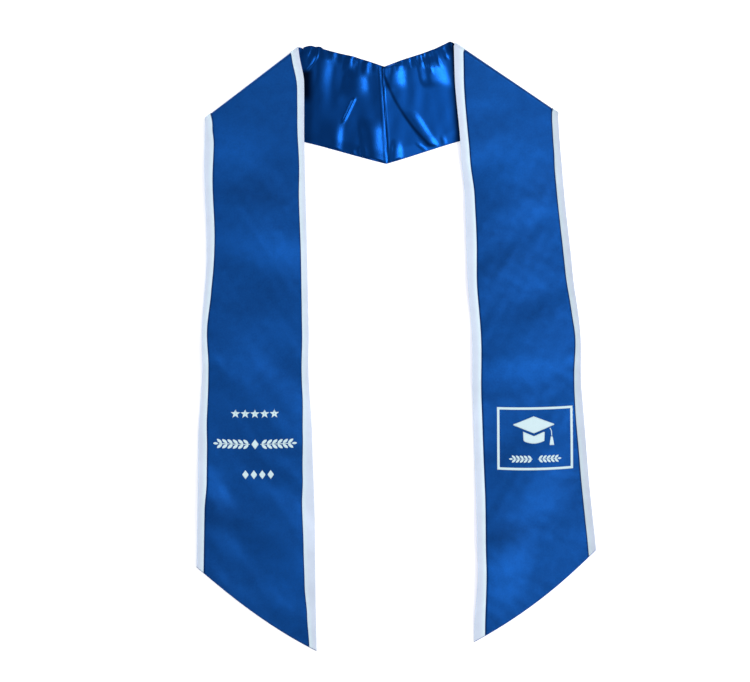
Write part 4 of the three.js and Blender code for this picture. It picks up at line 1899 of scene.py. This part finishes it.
def sprigs(rise: float, start: float, pairs: int, size: float) -> list[Array]:
    """Lay two laurel sprigs end to end, pointing outwards.

    A stem carries pairs of leaves in even steps, and one smaller leaf on its end. All is in
    proportion to a leaf's length.

    Args:
        rise: How far up they lie.
        start: How far their stems start from the middle.
        pairs: How many pairs of leaves each has.
        size: A leaf's length.

    Returns:
        Grids of flat points.
    """
    shapes = []
    step, stem, aside, width = (share * size for share in (0.76, 0.14, 0.05, 0.48))
    spread, first, smaller = math.radians(38), 0.3, 0.8
    for way in (-1, 1):
        reach = np.linspace(start, start + pairs * step, 30)
        shapes.append(ribbon(np.stack([way * reach, rise + 0 * reach], axis=-1), stem))
        for k in range(pairs):
            for up in (-1, 1):
                heading = spread * up if way > 0 else math.pi - spread * up
                root = (way * (start + (k + first) * step), rise + aside * up)
                shapes.append(leaf(root, heading, size, width))
        root = (way * (start + pairs * step), rise)
        shapes.append(leaf(root, 0 if way > 0 else math.pi, smaller * size, size / 2.5))
    return shapes


@dataclass
class ThreeRows(Motifs):
    """The left panel's three rows: stars, two laurel sprigs and diamonds.

    Attributes:
        row_pitch: From one row to the next.
        star_size: From a star's middle to its tips.
        star_pitch: From one star to the next.
        middle_diamond: Half the width of the diamond between the sprigs.
        stem_start: How far from the middle the sprigs start.
        leaf_size: The length of their leaves.
        diamond_size: Half the width of the lowest row's diamonds.
        diamond_pitch: From one of them to the next.
        diamond_first: Where the first of them lies, in pitches from the middle.
    """

    row_pitch: float = 37.5 * MM
    star_size: float = 6.6 * MM
    star_pitch: float = 12.2 * MM
    middle_diamond: float = 5 * MM
    stem_start: float = 6 * MM
    leaf_size: float = 8.6 * MM
    diamond_size: float = 4.5 * MM
    diamond_pitch: float = 10.4 * MM
    diamond_first: float = -1.2

    def outlines(self) -> list[Array]:
        """Lay out the three rows, one above the other, in a regular pitch.

        Returns:
            Grids of flat points.
        """
        stars = [(k * self.star_pitch, self.row_pitch) for k in range(-2, 3)]
        shapes = [star(self.star_size, centre) for centre in stars]
        shapes.append(self.diamond(0, 0, self.middle_diamond))
        shapes += sprigs(0, self.stem_start, 6, self.leaf_size)
        places = [(self.diamond_first + k) * self.diamond_pitch for k in range(4)]
        return shapes + [self.diamond(x, -self.row_pitch, self.diamond_size) for x in places]

    def diamond(self, x: float, y: float, half: float) -> Array:
        """Give a diamond that is a third taller than wide."""
        corners = [(-half, 0), (0, -1.35 * half), (half, 0), (0, 1.35 * half)]
        return quad([(x + u, y + v) for u, v in corners])


@dataclass
class Emblem(Motifs):
    """The right panel's emblem: a square cap with its tassel over two sprigs, in a plain frame.

    Attributes:
        frame_size: The frame's width and height.
        bar: How wide the frame's bar is.
        lap: How far the bar's ends lap, as a share of half the frame's width.
        cap_scale: How many times larger the cap is than its table of corners.
        cap_place: Where the cap's middle lies.
        sprig_rise: How far up the sprigs lie.
        stem_start: How far from the middle they start.
        leaf_size: The length of their leaves.
    """

    frame_size: tuple[float, float] = (96.6 * MM, 78 * MM)
    bar: float = 3.6 * MM
    lap: float = 0.06
    cap_scale: float = 1.3
    cap_place: tuple[float, float] = (-1.5 * MM, 8 * MM)
    sprig_rise: float = -25 * MM
    stem_start: float = 3 * MM
    leaf_size: float = 6.6 * MM

    def outlines(self) -> list[Array]:
        """Lay out the frame, the cap and the sprigs."""
        cap = [self.cap_scale * shape + self.cap_place for shape in self.cap()]
        return self.frame() + cap + sprigs(self.sprig_rise, self.stem_start, 5, self.leaf_size)

    def frame(self) -> list[Array]:
        """Lay out the frame as one bar, mitred at its corners, whose ends lap halfway a side.

        Returns:
            A grid of flat points.
        """
        corners = [(-self.lap, -1), (1, -1), (1, 1), (-1, 1), (-1, -1), (self.lap, -1)]
        sides, steps = 5, 25
        along = np.linspace(0, sides, sides * steps + 1)
        run = np.stack([np.interp(along, range(6), part) for part in zip(*corners)], axis=-1)
        reach = np.array(self.frame_size) / 2
        outer, inner = run * reach, run * (reach - self.bar)
        return [lerp(outer[:, None], inner[:, None], np.linspace(0, 1, 5)[None, :, None])]

    def cap(self) -> list[Array]:
        """Lay out the cap: its board, the band under it and the tassel that hangs from it.

        Its corners are in millimetres. The band is sunk by a peak at its top, and bows at its foot.

        Returns:
            Grids of flat points.
        """
        board = [(-22, 7), (0, -1.5), (22, 7), (0, 15.5)]
        band = [(-11, 1.2), (11, 1.2), (10.5, -8.5), (-10.5, -8.5)]
        crown = quad(np.array(band) * MM, 9, 17)
        fall = np.linspace(0, 1, 9)[:, None]
        dip = np.abs(np.linspace(-1, 1, 17))[None, :]
        peak, bow = 4.6 * MM, 2.6 * MM
        crown[..., 1] -= peak * (1 - dip) * (1 - fall) + bow * (1 - dip**2) * fall
        cord = np.array([(0, 7), (8, 5.8), (15.5, 4.2), (17.2, 1), (17.4, -4)]) * MM
        even = np.linspace(0, 4, 26)
        cord = np.stack([np.interp(even, range(5), cord[:, k]) for k in (0, 1)], axis=-1)
        tassel = [(16.5, -4), (18.3, -4), (20, -13), (14.8, -13)]
        hanging = cord[len(cord) // 2 :]
        top = quad(np.array(board) * MM, 14, 14)
        return [top, crown, ribbon(hanging, 1 * MM), quad(np.array(tassel) * MM)]


@dataclass
class Stole:
    """The whole stole: two bands, their cloth and their motifs.

    Attributes:
        sizes: Its sizes.
        sampling: How finely it is sampled.
        drape: The fine relief of its cloth.
    """

    sizes: Sizes = Sizes()
    sampling: Sampling = Sampling()
    drape: Drape = Drape()

    def __post_init__(self) -> None:
        """Lay out both bands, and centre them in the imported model's box."""
        lies = (LEFT_LIE, RIGHT_LIE)
        self.bands = [Band(lie, self.sizes, self.drape) for lie in lies]
        plain = [Band(replace(lie, top_stray=0), self.sizes, self.drape) for lie in lies]
        low, high = (np.array(corner[:2]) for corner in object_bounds())
        edges = np.concatenate([self.rim(band) for band in plain])
        offset = (low + high) / 2 - (edges.min(axis=0) + edges.max(axis=0)) / 2
        for band in self.bands:
            band.offset = offset
        LOG.info("centre-back notch at %.2f, %.2f mm", *(offset / MM))
        self.notch = offset

    def rim(self, band: Band) -> Array:
        """Measure a band's outline on the outside and the inside of its cloth.

        Args:
            band: The band.

        Returns:
            Points (n, 2) all over the band.
        """
        inner, outer = band.rows(self.sampling)
        across = np.linspace(0, 1, self.sampling.rim_columns)[None]
        s = lerp(inner[:, None], outer[:, None], across)
        across = np.broadcast_to(across, s.shape)
        top = self.sizes.seam_gap / 2 + self.sizes.trim_thickness
        both = [band.lay(s, across, np.full(s.shape, height)) for height in (-top, top)]
        return np.concatenate([points[..., :2].reshape(-1, 2) for points in both])

    def cloth(self, band: Band) -> list[tuple[Cloth, Finish]]:
        """List one half's pieces of cloth.

        Args:
            band: The half's band.

        Returns:
            The pieces, each with its finish.
        """
        word, gap = band.lie.side.word, self.sizes.seam_gap / 2
        base = {"band": band, "sampling": self.sampling}
        face = Face(
            name=f"{word}_face_cloth",
            low=gap,
            high=gap + self.sizes.face_thickness,
            nodes=(f"{word}_neck_face", f"{word}_panel_face"),
            slot="face_satin",
            nap=band.lie.nap.get("face", 1),
            **base,
        )
        lining = Lining(
            name=f"{word}_lining_cloth",
            low=-gap - self.sizes.lining_thickness,
            high=-gap,
            nodes=(f"{word}_neck_lining", f"{word}_panel_lining"),
            slot="lining_satin",
            is_lining=True,
            beyond_hem=self.sizes.lining_reach,
            nap=band.lie.nap.get("lining", 1),
            **base,
        )
        pieces: list[tuple[Cloth, Finish]] = [(face, MatteSatin()), (lining, BrightSatin())]
        for edge in Edge:
            kind = edge.name.lower()
            trim = Trim(
                name=f"{word}_{kind}_trim_cloth",
                low=gap,
                high=gap + self.sizes.trim_thickness,
                nodes=tuple(f"{word}_{part}_{kind}_trim" for part in ("neck", "shoulder", "panel")),
                slot="trim_satin",
                edge=edge,
                nap=band.lie.nap.get(f"{kind}_trim", 1),
                **base,
            )
            pieces.append((trim, TrimSatin()))
        return pieces

    def build(self) -> None:
        """Build every piece of the stole."""
        for band in self.bands:
            for cloth, finish in self.cloth(band):
                report(cloth.build(finish))
        left, right = self.bands
        rows = ThreeRows("left_motifs", left, down=0.687, across=0.5, turn=math.radians(0.3))
        emblem = Emblem("right_emblem", right, down=0.696, across=0.548, turn=math.radians(-3))
        for motifs in (rows, emblem):
            report(motifs.build(Print()))


def report(piece: bpy.types.Object) -> None:
    """Log a piece's name and how many triangles it has."""
    LOG.info("%s: %d triangles", piece.name, 2 * len(piece.data.polygons))


@dataclass(frozen=True)
class SoftBox:
    """A large soft light that looks at the stole.

    Attributes:
        name: Its name.
        place: Where it stands.
        size: Its width and length.
        power: Its power in watts.
        is_level: Whether it looks straight down.
    """

    name: str
    place: tuple[float, float, float]
    size: tuple[float, float]
    power: float
    is_level: bool = False

    def build(self, target: Sequence[float]) -> None:
        """Hang the light, with its length along the stole.

        Args:
            target: The point that it is turned towards.
        """
        data = bpy.data.lights.new(self.name, "AREA")
        data.shape = "RECTANGLE"
        data.size, data.size_y = self.size
        data.energy = self.power
        light = bpy.data.objects.new(self.name, data)
        light.visible_camera = False
        bpy.context.scene.collection.objects.link(light)
        light.location = self.place
        toward = np.array(target, float) - np.array(self.place, float)
        tilt_x = math.atan2(toward[0], -toward[2])
        tilt_y = math.atan2(toward[1], math.hypot(toward[0], toward[2]))
        light.rotation_euler = (tilt_y, -tilt_x, 0)


@dataclass
class Studio:
    """The floor, the lights and the camera straight above.

    Attributes:
        camera_height: How high the camera hangs.
        view_width: How wide the view is on the ground.
        view_offset: Where the view's middle lies from the notch of the neck.
        floor_size: How wide and long the floor is.
        floor_drop: How far below the stole it lies.
        sensor_width: The width of the camera's sensor, in millimetres.
        ambient: How bright the world lights the stole.
        lights: The lamps.
    """

    camera_height: float = 4.0
    view_width: float = 0.9375
    view_offset: tuple[float, float] = (-11.75 * MM, -342.5 * MM)
    floor_size: float = 12.0
    floor_drop: float = 0.2 * MM
    sensor_width: float = 36
    ambient: float = 0.16
    lights: tuple[SoftBox, ...] = (
        SoftBox("right", (1.45, 0.3, 1.95), (0.9, 2.4), 42),
        SoftBox("left", (-1.9, 0.2, 1.15), (0.8, 2.2), 27),
        SoftBox("overhead", (0.55, 0.0, 1.7), (1.1, 2.0), 3.9, is_level=True),
    )

    def build_camera(self, notch: Array) -> None:
        """Set a long-lens camera straight above the middle of the view.

        Args:
            notch: Where the notch of the neck lies.
        """
        data = bpy.data.cameras.new("camera")
        data.sensor_width = self.sensor_width
        data.lens = self.sensor_width * self.camera_height / self.view_width
        data.clip_end = 100
        camera = bpy.data.objects.new("camera", data)
        bpy.context.scene.collection.objects.link(camera)
        camera.location = (*(notch + self.view_offset), self.camera_height)
        bpy.context.scene.camera = camera

    def build(self) -> None:
        """Lay the floor, light the world and hang the lights."""
        self.build_floor()
        world = bpy.data.worlds.new("studio")
        world.use_nodes = True
        n = Nodes(world.node_tree)
        background = n.tree.nodes["Background"]
        seen = n.add("LightPath").outputs["Is Camera Ray"]
        strength = n.math("MULTIPLY_ADD", seen, 1 - self.ambient, self.ambient)
        n.feed(background.inputs["Strength"], strength)
        n.feed(background.inputs["Color"], opaque([1] * 3))
        bpy.context.scene.world = world
        for light in self.lights:
            light.build((light.place[0] if light.is_level else 0, 0, 0))
        bpy.context.scene.view_settings.view_transform = "Standard"

    def build_floor(self) -> None:
        """Lay a plain white floor."""
        corners = np.array([(-1, -1), (1, -1), (1, 1), (-1, 1)]) * self.floor_size / 2
        points = np.pad(corners, ((0, 0), (0, 1)), constant_values=-self.floor_drop)
        floor = mesh_object("floor", points, np.array([[0, 1, 2, 3]]))
        floor.data.materials.append(Ground().material())
        floor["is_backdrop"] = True


def main() -> None:
    """Build the stole and its studio."""
    logging.basicConfig(level=logging.INFO, format="%(message)s")
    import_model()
    stole = Stole()
    studio = Studio()
    studio.build_camera(stole.notch)
    for make_group in (weave_group, tone_group, stitch_group):
        make_group()
    stole.build()
    studio.build()


if __name__ == "__main__":
    main()
